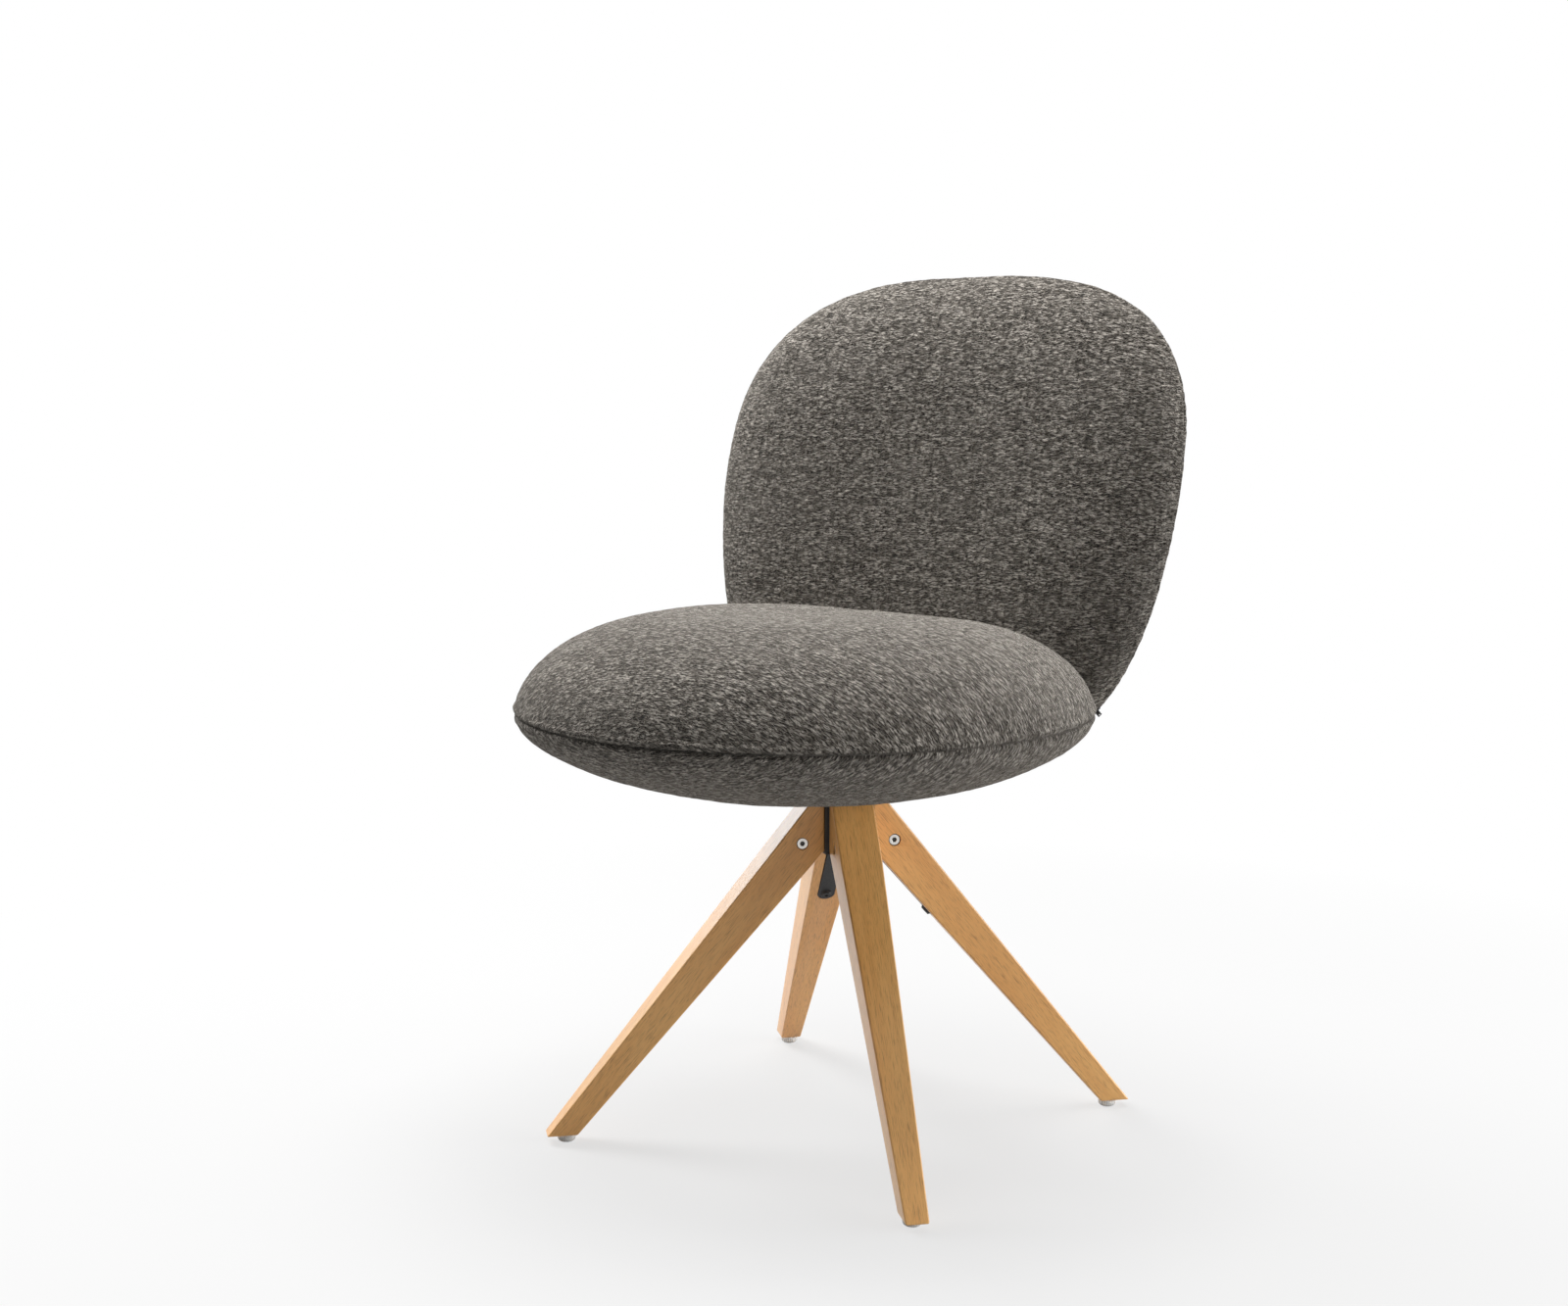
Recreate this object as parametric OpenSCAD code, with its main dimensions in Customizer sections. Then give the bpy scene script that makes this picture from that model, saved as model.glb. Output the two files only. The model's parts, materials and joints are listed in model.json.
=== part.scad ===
// Swivel dining chair: four splayed timber legs round a square steel hub, a round pebble
// seat that turns on a steel spindle, and a reclined, gently curved pebble back.
// Millimetres, +Z up, and the sitter faces -Y. The origin lies on the floor under the
// middle of the chair's outer box, so the swivel axis stands a little behind it.

/* [Legs] */
// Distance from the swivel axis to the middle of each glide
glide_circle_r = 270; // [240:2:290]
// Length of the foot's cut end on the inner side of the glide's middle
foot_inner = 9.6; // [8:0.2:12]
// Length of the foot's cut end on the outer side of the glide's middle
foot_outer = 19.6; // [15:0.2:24]
// Width of a leg at the foot
leg_w_foot = 21.6; // [20:0.2:28]
// Width of a leg at the hub
leg_w_top = 40; // [36:0.5:42]
// Height where the legs' undersides meet the hub
leg_corner_z = 274.7; // [262:0.1:278]
// Height of the legs' cut tops
leg_top_z = 327; // [323:1:342]
// Distance from the swivel axis to the outer edge of a leg's cut top
leg_top_r = 33; // [30:1:40]

/* [Glides] */
// Height of a glide, which lifts the foot off the floor
glide_h = 7.5; // [5:0.1:12]
// Diameter of a glide's rim
glide_rim_d = 17.5; // [15:0.5:19]
// Diameter of a glide's contact face
glide_foot_d = 9; // [8:0.5:12]
// Diameter of the glide's nail
pin_d = 4; // [3:0.1:4.5]
// Depth of the nail in the leg
pin_depth = 16; // [10:1:18]

/* [Hub] */
// Width of the square hub tube across its flats
hub_w = 47; // [45:0.5:50]
// Wall of the hub tube
hub_wall = 3; // [2:0.5:3.5]
// Thickness of the hub's top plate
top_plate_t = 4; // [3:0.5:6]
// Thickness of the blades that the legs are bolted to
fin_t = 5; // [4:0.5:6]
// Distance from the swivel axis to a blade's outer end
fin_r = 60; // [55:1:66]
// Wood left above and below a blade
fin_cover = 9; // [7:0.5:11]

/* [Leg bolts] */
// Distance of a leg bolt from the swivel axis
bolt_r = 45; // [42:0.5:47]
// Height of the leg bolts
bolt_z = 282.8; // [280:0.2:286]
// Diameter of a leg bolt's thread
bolt_d = 6; // [5:0.5:6.5]
// Diameter of the heads of the leg bolts and of the sleeve nuts
bolt_head_d = 10; // [9:0.5:11]
// Diameter of the sleeve nut's barrel
sleeve_d = 8.6; // [8:0.2:9]

/* [Brace] */
// Thickness of the star-shaped brace under the legs
brace_t = 3; // [2:0.5:4]
// Width of the brace's arms
brace_w = 17; // [14:0.5:19]
// Length of an arm along the leg, from the hub to its screw
brace_len = 88; // [60:1:95]
// Diameter of the brace screws' heads
brace_head_d = 11.6; // [9:0.2:13]
// Length of the brace screws in the wood
brace_screw_len = 22; // [16:1:24]

/* [Swivel] */
// Diameter of the spindle
spindle_d = 20; // [18:0.5:22]
// Radial running clearance between the spindle and its bushes
running_fit = 0.05; // [0.03:0.01:0.1]
// Outer diameter of the bushes
bush_d = 30; // [28:0.5:31]
// Length of each bush
bush_len = 14; // [10:1:16]
// Outer diameter of the bearing housing
housing_d = 36; // [34.5:0.5:38]
// Length of the bearing housing below the legs' cut tops
housing_drop = 36; // [32:1:36]
// Diameter of the thrust balls
ball_d = 3; // [2.5:0.25:4]
// Number of thrust balls
ball_count = 12; // [8:1:14]
// Thickness of a thrust race
race_t = 1; // [0.75:0.25:2]
// Outer diameter of the thrust races
race_d = 46; // [44:1:50]
// Height of the boss on the spindle, between the upper race and the seat plate
boss_h = 2.6; // [2:0.2:6]

/* [Seat mounting] */
// Diameter of the steel seat plate
plate_d = 136; // [132:2:146]
// Thickness of the steel seat plate
plate_t = 5; // [4:0.5:6]
// Radius of the circle of seat bolts
seat_bolt_r = 55; // [50:1:58]
// Diameter of the seat bolts
seat_bolt_d = 8; // [6:0.5:8]
// Height of the timber block between the seat plate and the seat board
block_h = 33; // [32:1:36]
// Thickness of the plywood seat board
board_t = 12; // [10:1:15]
// Distance from the seat's rim in to the edge of the plywood seat board
board_edge = 64; // [62:1:77]

/* [Seat cushion] */
// Radius of the seat
seat_r = 267; // [260:1:275]
// Distance from the swivel axis forward to the seat's centre
seat_forward = 70; // [66:1:74]
// Height of the seat's seam above its flat underside
seam_rise = 79; // [77:1:83]
// Height of the seat's crown above its seam
crown_h = 91; // [80:1:100]
// Depth of the shallow dish in the middle of the crown
dish_h = 9; // [0:1:14]
// Distance by which the bowl's lowest part lies behind the seat's centre
bowl_shift = 12; // [0:1:30]
// Depth that the seams are drawn in
seam_in = 3; // [2:0.5:4]
// Thickness of the cover fabric
cover_t = 2.5; // [2:0.1:3]
// Gap left between layers of the upholstery
layer_gap = 0.3; // [0.2:0.05:0.5]

/* [Back cushion] */
// Half of the back's greatest width
back_half_w = 260; // [250:1:270]
// Height of the back's widest line above the floor
back_mid_z = 617; // [607:1:627]
// Height of the back above its widest line
back_up = 207; // [195:1:215]
// Height of the back below its widest line
back_down = 245; // [240:1:250]
// Recline of the back from upright
recline = 13.9; // [12:0.1:16]
// Distance from the swivel axis back to the back's seam surface at its widest line
back_set = 206; // [204:1:212]
// Depth of the back's curve round the sitter over its half width
back_sag = 28; // [20:1:34]
// Fullness of the front pad, from seam to crown
front_full = 48; // [44:1:50]
// Fullness of the rear pad, from seam to crown
rear_full = 39; // [32:1:44]
// Thickness of the plywood back shell
shell_t = 12; // [10:1:12]
// Distance from the back's seam in to the edge of the shell
shell_inset = 12; // [10:1:20]

/* [Back brackets] */
// Width of a back bracket
bracket_w = 40; // [30:1:44]
// Thickness of a back bracket
bracket_t = 6; // [5:0.5:6]
// Distance from the chair's middle to the middle of a bracket
bracket_x = 75; // [65:1:80]
// Height of a bracket's upright arm
bracket_rise = 120; // [115:5:140]
// Distance from the swivel axis forward to a bracket's front end
bracket_start = 20; // [15:1:30]
// Diameter of the bracket screws
screw_d = 5.6; // [5:0.2:6]
// Length of the bracket screws below the bracket
screw_len = 10; // [8:0.5:12]

/* [Zip] */
// Width of the zip in the back's lower seam
zip_w = 4; // [3:0.5:4.5]
// Length of the zip's pull
pull_len = 13; // [10:1:16]

/* [Hidden] */

// Sides of small turned parts and of large ones
fine = 32;
coarse = 96;
// Sides of the long, shallow curves of the seat's rear face and of the back shell
shallow = 360;
// Overshoot of a cutting shape past the face that it opens
over = 1;
// Clearance round a screw or nut, and between a blade and its slot
fit_gap = 0.1;
// Clearance of a bolt in a plain hole
bolt_gap = 0.4;

// Legs, drawn in an upright plane through the swivel axis
leg_angles = [45, -45, 135, 225];
hub_half = hub_w / 2;
foot_in_r = glide_circle_r - foot_inner;
foot_out_r = glide_circle_r + foot_outer;
under_angle = atan2(leg_corner_z - glide_h, foot_in_r - hub_half);
under_run = (foot_in_r - hub_half) / (leg_corner_z - glide_h);
upper_run = (foot_out_r - leg_top_r) / (leg_top_z - glide_h);
function leg_under_z(r) = leg_corner_z - (r - hub_half) / under_run;
function leg_upper_z(r) = leg_top_z - (r - leg_top_r) / upper_run;
slot_gap = 0.3;

// Glides, each a rounded bowl under a straight rim, and their nails
glide_steps = 5;
glide_flare = 0.6;
pin_head_share = 0.65;
pin_head_z = 1;
pin_head_t = 1.5;

// Leg bolts: the head in a counterbore on one side, the sleeve nut almost flush on the other
bolt_head_t = 6;
bolt_sunk = 1.5;
bolt_past = 5;
sleeve_head_t = 2;
sleeve_sunk = 0.3;
sleeve_past = 8;
recess_gap = 1;
// Width across flats of a hexagon socket as a share of the thread, and its depth of the head
socket_share = 0.7;
socket_deep = 0.5;

// Brace and its screws. Each arm is a touch narrower than its round end
pocket_gap = 0.4;
arm_step = 0.1;
brace_screw_r = 2.4;
brace_head_t = 2.4;

// Height of each part in the stack from the hub up to the seat
bearing_gap = 0.2;
plate_top_z = leg_top_z + top_plate_t;
ball_z = plate_top_z + race_t + bearing_gap + ball_d / 2;
race_up_z = plate_top_z + race_t + ball_d + 2 * bearing_gap;
boss_z = race_up_z + race_t;
under_z = boss_z + boss_h;
block_z = under_z + plate_t;
board_z = block_z + block_h;
board_top_z = board_z + board_t;
board_r = seat_r - board_edge;
seam_z = under_z + seam_rise;

// Bearing
ball_circle_r = (race_d + spindle_d) / 4;
race_bore_r = spindle_d / 2 + 0.3;
cage_share = 0.4;
cage_gap = 0.15;
housing_z = leg_top_z - housing_drop;
flange_t = 2;
washer_t = 1.5;
washer_z = housing_z - flange_t - bearing_gap - washer_t;
circlip_t = 1.5;
circlip_w = 3.4;
circlip_z = washer_z - fit_gap - circlip_t;
groove_d = 1;
spindle_tail = 3;
spindle_end_z = circlip_z - spindle_tail;
spindle_edge = 1;
boss_r = race_d / 2 - 1;

// Seat bolts, their washers and tee nuts
seat_head_t = 4.4;
seat_head_share = 1.75;
seat_washer_t = 1.6;
seat_washer_w = 4.5;
tee_wall = 1.6;
tee_flange_w = 6;
tee_flange_t = 1.6;
tee_barrel_share = 0.75;

// Seat's soft outline. A soft edge beside a seam is given by points: the share of the
// seam's depth, and the height from the seam
bowl_h = seam_rise + 2;
bowl_power = 1.3;
crown_power = 3.3;
crown_round = 1.76;
dish_share = 0.5;
seam_edge = [[0.35, 3], [1, 0.15]];
seam_half_gap = seam_edge[1][1];
seat_sides = 48;
crown_steps = 12;
crown_end = 84;
bowl_steps = [14, 26, 38, 50, 61, 71, 79, 84];

// Back's soft outline: an upper half and a flatter lower half, each a rounded power curve
top_power = 2.75;
low_power_z = 1.55;
low_power_x = 5.72;
low_spread = 0.8;
pad_power = 4;
pad_steps = 9;
pad_step = 9.4;
pad_sides = 40;
foam_sides = 20;
foam_inset = 9;
foam_gap = 0.8;
foam_base_gap = 1.6;
base_shares = [0.9, 0.72, 0.54, 0.36, 0.18];
back_run = tan(recline);
curve_r = back_half_w * back_half_w / (2 * back_sag * cos(recline));
foam_base = shell_t / 2 / cos(recline) + foam_base_gap;

// A value raised to a power with its sign kept
function signed_pow(v, e) = sign(v) * pow(abs(v), e);
// Outline of the back at an angle about its middle, inset by a margin, as [x, height].
// Its lower half is spread so that the points along the flat bottom lie evenly
function back_edge(a, inset) = sin(a) >= 0
  ? [(back_half_w - inset) * signed_pow(cos(a), 2 / top_power),
     (back_up - inset) * pow(sin(a), 2 / top_power)]
  : let(u = signed_pow(cos(a), low_spread))
    [(back_half_w - inset) * u,
     -(back_down - inset) * pow(1 - pow(abs(u), low_power_x), 1 / low_power_z)];
// Seam surface of the back, behind the swivel axis: reclined, and curved round the sitter
function back_y(x, z) = back_set + back_run * (z - back_mid_z)
  - back_sag * pow(x / back_half_w, 2);
// Fullness of a pad at a share of the way from its middle to its seam
function pad_full(share) = sqrt(max(0, 1 - pow(share, pad_power)));

// Rear face of the seat: a shallow upright curve that leans back just in front of the back
rear_cut_gap = 2.6;
rear_cut_flat = 1.7;
rear_cut_rise = 10;
rear_cut_lean = 6.6;
rear_cut_z = seam_z + rear_cut_rise;
rear_cut_y = back_y(0, rear_cut_z) - rear_cut_gap
  - front_full * pad_full((back_mid_z - rear_cut_z) / back_down);
rear_cut_r = rear_cut_flat * curve_r;

// Back brackets, let into the front of the shell
bracket_in = 2.5;
screw_r = screw_d / 2;
screw_head_t = screw_r;
seat_screw_y = [0, 60];
back_screw_rise = [45, 100];
back_screw_len = bracket_t + shell_t / 2 - 1;

// Zip in the groove of the back's lower seam
zip_end = 135;
zip_steps = 24;
zip_inner_w = 0.5;
zip_inner = seam_in - 0.2;
zip_outer = seam_in * seam_edge[0][0] + 0.35;
pull_t = 1.4;
slider = [9, 4.4, 3.8];

// The chair's outer box runs from the seat's front to the rear pad
back_rear_y = max([for (i = [0:20]) let(s = i / 20)
  back_y(0, back_mid_z + back_up * s) + rear_full * pad_full(s)]);
axis_y = round((seat_forward + seat_r - back_rear_y) / 2);

// A closed skin over rings of points, with a pole before the first ring and after the last
function skin_index(i, j, sides) = 1 + i * sides + (j % sides);
function skin_faces(rings, sides) = concat(
  [for (j = [0:sides - 1]) [0, skin_index(0, j, sides), skin_index(0, j + 1, sides)]],
  [for (i = [0:rings - 2], j = [0:sides - 1])
    [skin_index(i, j, sides), skin_index(i + 1, j, sides), skin_index(i + 1, j + 1, sides)]],
  [for (i = [0:rings - 2], j = [0:sides - 1])
    [skin_index(i, j, sides), skin_index(i + 1, j + 1, sides), skin_index(i, j + 1, sides)]],
  [for (j = [0:sides - 1])
    [1 + rings * sides, skin_index(rings - 1, j + 1, sides), skin_index(rings - 1, j, sides)]]
);
module closed_skin(first, rings, last) {
  points = concat([first], [for (ring = rings) for (p = ring) p], [last]);
  polyhedron(points, skin_faces(len(rings), len(rings[0])), convexity = 6);
}
function reversed(list) = [for (i = [len(list) - 1:-1:0]) list[i]];

module washer(outer_r, inner_r, h, sides = fine) {
  difference() {
    cylinder(r = outer_r, h = h, $fn = sides);
    translate([0, 0, -over]) cylinder(r = inner_r, h = h + 2 * over, $fn = sides);
  }
}
module hex_socket(thread, head_t) {
  translate([0, 0, -socket_deep * head_t])
    cylinder(d = thread * socket_share / cos(30), h = head_t, $fn = 6);
}
module at_axis(z) {
  translate([0, axis_y, z]) children();
}
module at_seat(z) {
  translate([0, axis_y - seat_forward, z]) children();
}
// Places children in the square hub's own frame, its flats towards the legs
module at_hub(z) {
  at_axis(z) rotate([0, 0, leg_angles[0]]) children();
}
// Places children in a leg's own frame: +X outwards along the leg, +Y across it
module at_leg(angle) {
  at_axis(0) rotate([0, 0, angle - 90]) children();
}
module at_every_leg() {
  for (angle = leg_angles) at_leg(angle) children();
}
// Places children across a leg at its bolt, with +Z towards the bolt's head
module at_leg_bolt() {
  translate([bolt_r, 0, bolt_z]) rotate([90, 0, 0]) children();
}
// Places children on a leg's underside at the brace screw, with +Z into the wood
module at_brace_screw() {
  translate([hub_half + brace_len * cos(under_angle), 0,
             leg_corner_z - brace_len * sin(under_angle)])
    rotate([0, under_angle, 0]) children();
}
// Gives an outline in a leg's upright plane a width centred on the leg
module across_leg(width) {
  translate([0, width / 2, 0]) rotate([90, 0, 0]) linear_extrude(width) children();
}

// Legs
module fin_outline(grow) {
  reach = fin_r + grow;
  inner = hub_half - (grow > 0 ? over : 0);
  polygon([
    [inner, leg_under_z(hub_half) + fin_cover - grow],
    [inner, leg_top_z - fin_cover + grow],
    [leg_top_r, leg_top_z - fin_cover + grow],
    [reach, leg_upper_z(reach) - fin_cover + grow],
    [reach, leg_under_z(reach) + fin_cover - grow]
  ]);
}
module brace_arm(width, below) {
  along = cos(under_angle);
  down = sin(under_angle);
  end_x = hub_half + brace_len * along;
  end_z = leg_corner_z - brace_len * down;
  across_leg(width - 2 * arm_step) polygon([
    [hub_half, leg_corner_z],
    [hub_half, leg_corner_z - brace_t],
    [hub_half + brace_t * under_run, leg_corner_z - brace_t],
    [end_x - below * down, end_z - below * along],
    [end_x + brace_t * down, end_z + brace_t * along],
    [hub_half + brace_t / down, leg_corner_z]
  ]);
  at_brace_screw() translate([0, 0, -below])
    cylinder(d = width, h = brace_t + below, $fn = fine);
}
module leg_drillings() {
  recess_r = bolt_head_d / 2 + recess_gap;
  at_leg_bolt() {
    translate([0, 0, -leg_w_top])
      cylinder(r = sleeve_d / 2 + fit_gap, h = 2 * leg_w_top, $fn = fine);
    translate([0, 0, leg_w_top / 2 - bolt_sunk - bolt_head_t])
      cylinder(r = recess_r, h = leg_w_top, $fn = fine);
    translate([0, 0, sleeve_sunk + sleeve_head_t - 1.5 * leg_w_top])
      cylinder(r = recess_r, h = leg_w_top, $fn = fine);
  }
  at_brace_screw() cylinder(r = brace_screw_r, h = brace_t + brace_screw_len, $fn = fine);
  translate([glide_circle_r, 0, glide_h - over])
    cylinder(d = pin_d, h = pin_depth + over, $fn = fine);
}
module timber_leg(angle) {
  foot_half = leg_w_foot / 2;
  top_half = leg_w_top / 2;
  color([0.78, 0.56, 0.33]) at_leg(angle) difference() {
    intersection() {
      across_leg(leg_w_top + 2 * over) polygon([
        [hub_half, leg_corner_z],
        [foot_in_r, glide_h],
        [foot_out_r, glide_h],
        [leg_top_r, leg_top_z],
        [hub_half, leg_top_z]
      ]);
      rotate([90, 0, 90]) linear_extrude(foot_out_r + over) polygon([
        [-foot_half, glide_h],
        [foot_half, glide_h],
        [top_half, leg_corner_z],
        [top_half, leg_top_z],
        [-top_half, leg_top_z],
        [-top_half, leg_corner_z]
      ]);
    }
    across_leg(fin_t + 2 * fit_gap) fin_outline(slot_gap);
    brace_arm(brace_w + 2 * pocket_gap, over);
    leg_drillings();
  }
}
module leg_front_left() {
  timber_leg(leg_angles[0]);
}
module leg_front_right() {
  timber_leg(leg_angles[1]);
}
module leg_rear_left() {
  timber_leg(leg_angles[2]);
}
module leg_rear_right() {
  timber_leg(leg_angles[3]);
}

// Glides
module foot_glides() {
  rim_r = glide_rim_d / 2;
  foot_r = glide_foot_d / 2;
  flare_z = glide_h * glide_flare;
  recess_r = pin_d * pin_head_share + fit_gap;
  color([0.93, 0.93, 0.91]) at_every_leg() translate([glide_circle_r, 0, 0])
    rotate_extrude($fn = fine) polygon(concat(
      [[recess_r, 0]],
      [for (i = [0:glide_steps]) let(a = i * 90 / glide_steps)
        [foot_r + (rim_r - foot_r) * sin(a), flare_z * (1 - cos(a))]],
      [
        [rim_r, glide_h],
        [pin_d / 2 + fit_gap, glide_h],
        [pin_d / 2 + fit_gap, pin_head_z + pin_head_t],
        [recess_r, pin_head_z + pin_head_t]
      ]
    ));
}
module glide_pins() {
  color([0.72, 0.72, 0.74]) at_every_leg() translate([glide_circle_r, 0, pin_head_z]) {
    cylinder(r = pin_d * pin_head_share, h = pin_head_t, $fn = fine);
    cylinder(d = pin_d, h = glide_h - pin_head_z + pin_depth, $fn = fine);
  }
}

// Hub
module hub_tube() {
  inside = hub_w - 2 * hub_wall;
  h = leg_top_z - leg_corner_z;
  color([0.1, 0.1, 0.11]) at_hub(leg_corner_z) difference() {
    translate([-hub_half, -hub_half, 0]) cube([hub_w, hub_w, h]);
    translate([-inside / 2, -inside / 2, -over]) cube([inside, inside, h + 2 * over]);
  }
}
module hub_fins() {
  color([0.1, 0.1, 0.11]) at_every_leg() difference() {
    across_leg(fin_t) fin_outline(0);
    at_leg_bolt() translate([0, 0, -fin_t])
      cylinder(r = sleeve_d / 2 + fit_gap, h = 2 * fin_t, $fn = fine);
  }
}
module hub_top_plate() {
  color([0.1, 0.1, 0.11]) at_hub(leg_top_z) difference() {
    translate([-leg_top_r, -leg_top_r, 0]) cube([2 * leg_top_r, 2 * leg_top_r, top_plate_t]);
    translate([0, 0, -over]) cylinder(d = housing_d, h = top_plate_t + 2 * over, $fn = fine);
  }
}

// Leg bolts, each through a leg and its blade into a sleeve nut
module leg_bolts() {
  head_top = leg_w_top / 2 - bolt_sunk;
  color([0.8, 0.78, 0.74]) at_every_leg() at_leg_bolt() difference() {
    union() {
      translate([0, 0, head_top - bolt_head_t])
        cylinder(d = bolt_head_d, h = bolt_head_t, $fn = fine);
      translate([0, 0, -bolt_past])
        cylinder(d = bolt_d, h = head_top + bolt_past - over, $fn = fine);
    }
    translate([0, 0, head_top]) hex_socket(bolt_d, bolt_head_t);
  }
}
module leg_sleeve_nuts() {
  head_top = leg_w_top / 2 - sleeve_sunk;
  color([0.8, 0.78, 0.74]) at_every_leg() at_leg_bolt() mirror([0, 0, 1]) difference() {
    union() {
      translate([0, 0, head_top - sleeve_head_t])
        cylinder(d = bolt_head_d, h = sleeve_head_t, $fn = fine);
      translate([0, 0, -sleeve_past])
        cylinder(d = sleeve_d, h = head_top + sleeve_past - over, $fn = fine);
    }
    translate([0, 0, -sleeve_past - over])
      cylinder(r = bolt_d / 2 + fit_gap, h = sleeve_past + bolt_past + 2 * over, $fn = fine);
    translate([0, 0, head_top]) hex_socket(bolt_d, bolt_head_t);
  }
}

// Brace
module leg_brace() {
  color([0.1, 0.1, 0.11]) difference() {
    union() {
      at_hub(leg_corner_z - brace_t) translate([-hub_half, -hub_half, 0])
        cube([hub_w, hub_w, brace_t]);
      at_every_leg() brace_arm(brace_w, 0);
    }
    at_every_leg() at_brace_screw() translate([0, 0, -over])
      cylinder(r = brace_screw_r + fit_gap, h = brace_t + 2 * over, $fn = fine);
  }
}
module brace_screws() {
  color([0.08, 0.08, 0.09]) at_every_leg() at_brace_screw() difference() {
    union() {
      translate([0, 0, -brace_head_t]) cylinder(d1 = brace_head_d - brace_head_t, d2 = brace_head_d,
        h = brace_head_t, $fn = fine);
      cylinder(r = brace_screw_r, h = brace_t + brace_screw_len, $fn = fine);
    }
    translate([0, 0, -brace_head_t]) mirror([0, 0, 1]) hex_socket(2 * brace_screw_r, brace_head_t);
  }
}

// Bearing
module bearing_housing() {
  color([0.55, 0.56, 0.58]) at_axis(housing_z)
    washer(housing_d / 2, bush_d / 2, plate_top_z - housing_z, coarse);
}
module lower_bush() {
  bore_r = spindle_d / 2 + running_fit;
  color([0.9, 0.9, 0.86]) at_axis(housing_z) rotate_extrude($fn = coarse) polygon([
    [bore_r, -flange_t],
    [housing_d / 2, -flange_t],
    [housing_d / 2, 0],
    [bush_d / 2, 0],
    [bush_d / 2, bush_len],
    [bore_r, bush_len]
  ]);
}
module upper_bush() {
  color([0.9, 0.9, 0.86]) at_axis(plate_top_z - bush_len)
    washer(bush_d / 2, spindle_d / 2 + running_fit, bush_len, coarse);
}
module thrust_race_lower() {
  color([0.7, 0.71, 0.73]) at_axis(plate_top_z) washer(race_d / 2, race_bore_r, race_t, coarse);
}
module thrust_race_upper() {
  color([0.7, 0.71, 0.73]) at_axis(race_up_z) washer(race_d / 2, race_bore_r, race_t, coarse);
}
module at_every_ball() {
  for (i = [0:ball_count - 1])
    rotate([0, 0, i * 360 / ball_count]) translate([ball_circle_r, 0, 0]) children();
}
module thrust_balls() {
  color([0.75, 0.76, 0.78]) at_axis(ball_z) at_every_ball() sphere(d = ball_d, $fn = 16);
}
module thrust_cage() {
  cage_t = ball_d * cage_share;
  color([0.76, 0.62, 0.3]) at_axis(ball_z - cage_t / 2) difference() {
    washer(ball_circle_r + ball_d, ball_circle_r - ball_d, cage_t, coarse);
    at_every_ball() translate([0, 0, -over])
      cylinder(r = ball_d / 2 + cage_gap, h = cage_t + 2 * over, $fn = 16);
  }
}
module spindle() {
  r = spindle_d / 2;
  groove_z = circlip_z - fit_gap / 2;
  groove_top_z = circlip_z + circlip_t + fit_gap / 2;
  color([0.6, 0.61, 0.63]) at_axis(0) rotate_extrude($fn = coarse) polygon([
    [0, spindle_end_z],
    [r - spindle_edge, spindle_end_z],
    [r, spindle_end_z + spindle_edge],
    [r, groove_z],
    [r - groove_d, groove_z],
    [r - groove_d, groove_top_z],
    [r, groove_top_z],
    [r, boss_z],
    [boss_r, boss_z],
    [boss_r, under_z],
    [0, under_z]
  ]);
}
module spindle_washer() {
  color([0.7, 0.71, 0.73]) at_axis(washer_z)
    washer(bush_d / 2, spindle_d / 2 + fit_gap, washer_t, coarse);
}
module circlip() {
  inner_r = spindle_d / 2 - groove_d + fit_gap;
  color([0.2, 0.2, 0.22]) at_axis(circlip_z) difference() {
    washer(inner_r + circlip_w, inner_r, circlip_t, coarse);
    translate([0, -circlip_w / 2, -over]) cube([spindle_d, circlip_w, circlip_t + 2 * over]);
  }
}

// Seat mounting
module at_every_seat_bolt() {
  for (i = [0:3]) rotate([0, 0, 45 + 90 * i]) translate([seat_bolt_r, 0, 0]) children();
}
module seat_bolt_holes(h) {
  at_every_seat_bolt() translate([0, 0, -over])
    cylinder(r = seat_bolt_d / 2 + bolt_gap, h = h + 2 * over, $fn = fine);
}
module seat_plate() {
  color([0.1, 0.1, 0.11]) at_axis(under_z) difference() {
    cylinder(d = plate_d, h = plate_t, $fn = coarse);
    seat_bolt_holes(plate_t);
  }
}
module seat_bolts() {
  head_z = -seat_washer_t - seat_head_t;
  shank = board_top_z - under_z - over;
  color([0.12, 0.12, 0.13]) at_axis(under_z) at_every_seat_bolt() difference() {
    union() {
      translate([0, 0, head_z])
        cylinder(d1 = seat_bolt_d, d2 = seat_bolt_d * seat_head_share, h = seat_head_t, $fn = fine);
      translate([0, 0, -seat_washer_t])
        cylinder(d = seat_bolt_d, h = seat_washer_t + shank, $fn = fine);
    }
    translate([0, 0, head_z]) mirror([0, 0, 1]) hex_socket(seat_bolt_d, seat_head_t);
  }
}
module seat_bolt_washers() {
  color([0.7, 0.71, 0.73]) at_axis(under_z - seat_washer_t) at_every_seat_bolt()
    washer(seat_bolt_d / 2 + seat_washer_w, seat_bolt_d / 2 + fit_gap, seat_washer_t);
}
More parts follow.
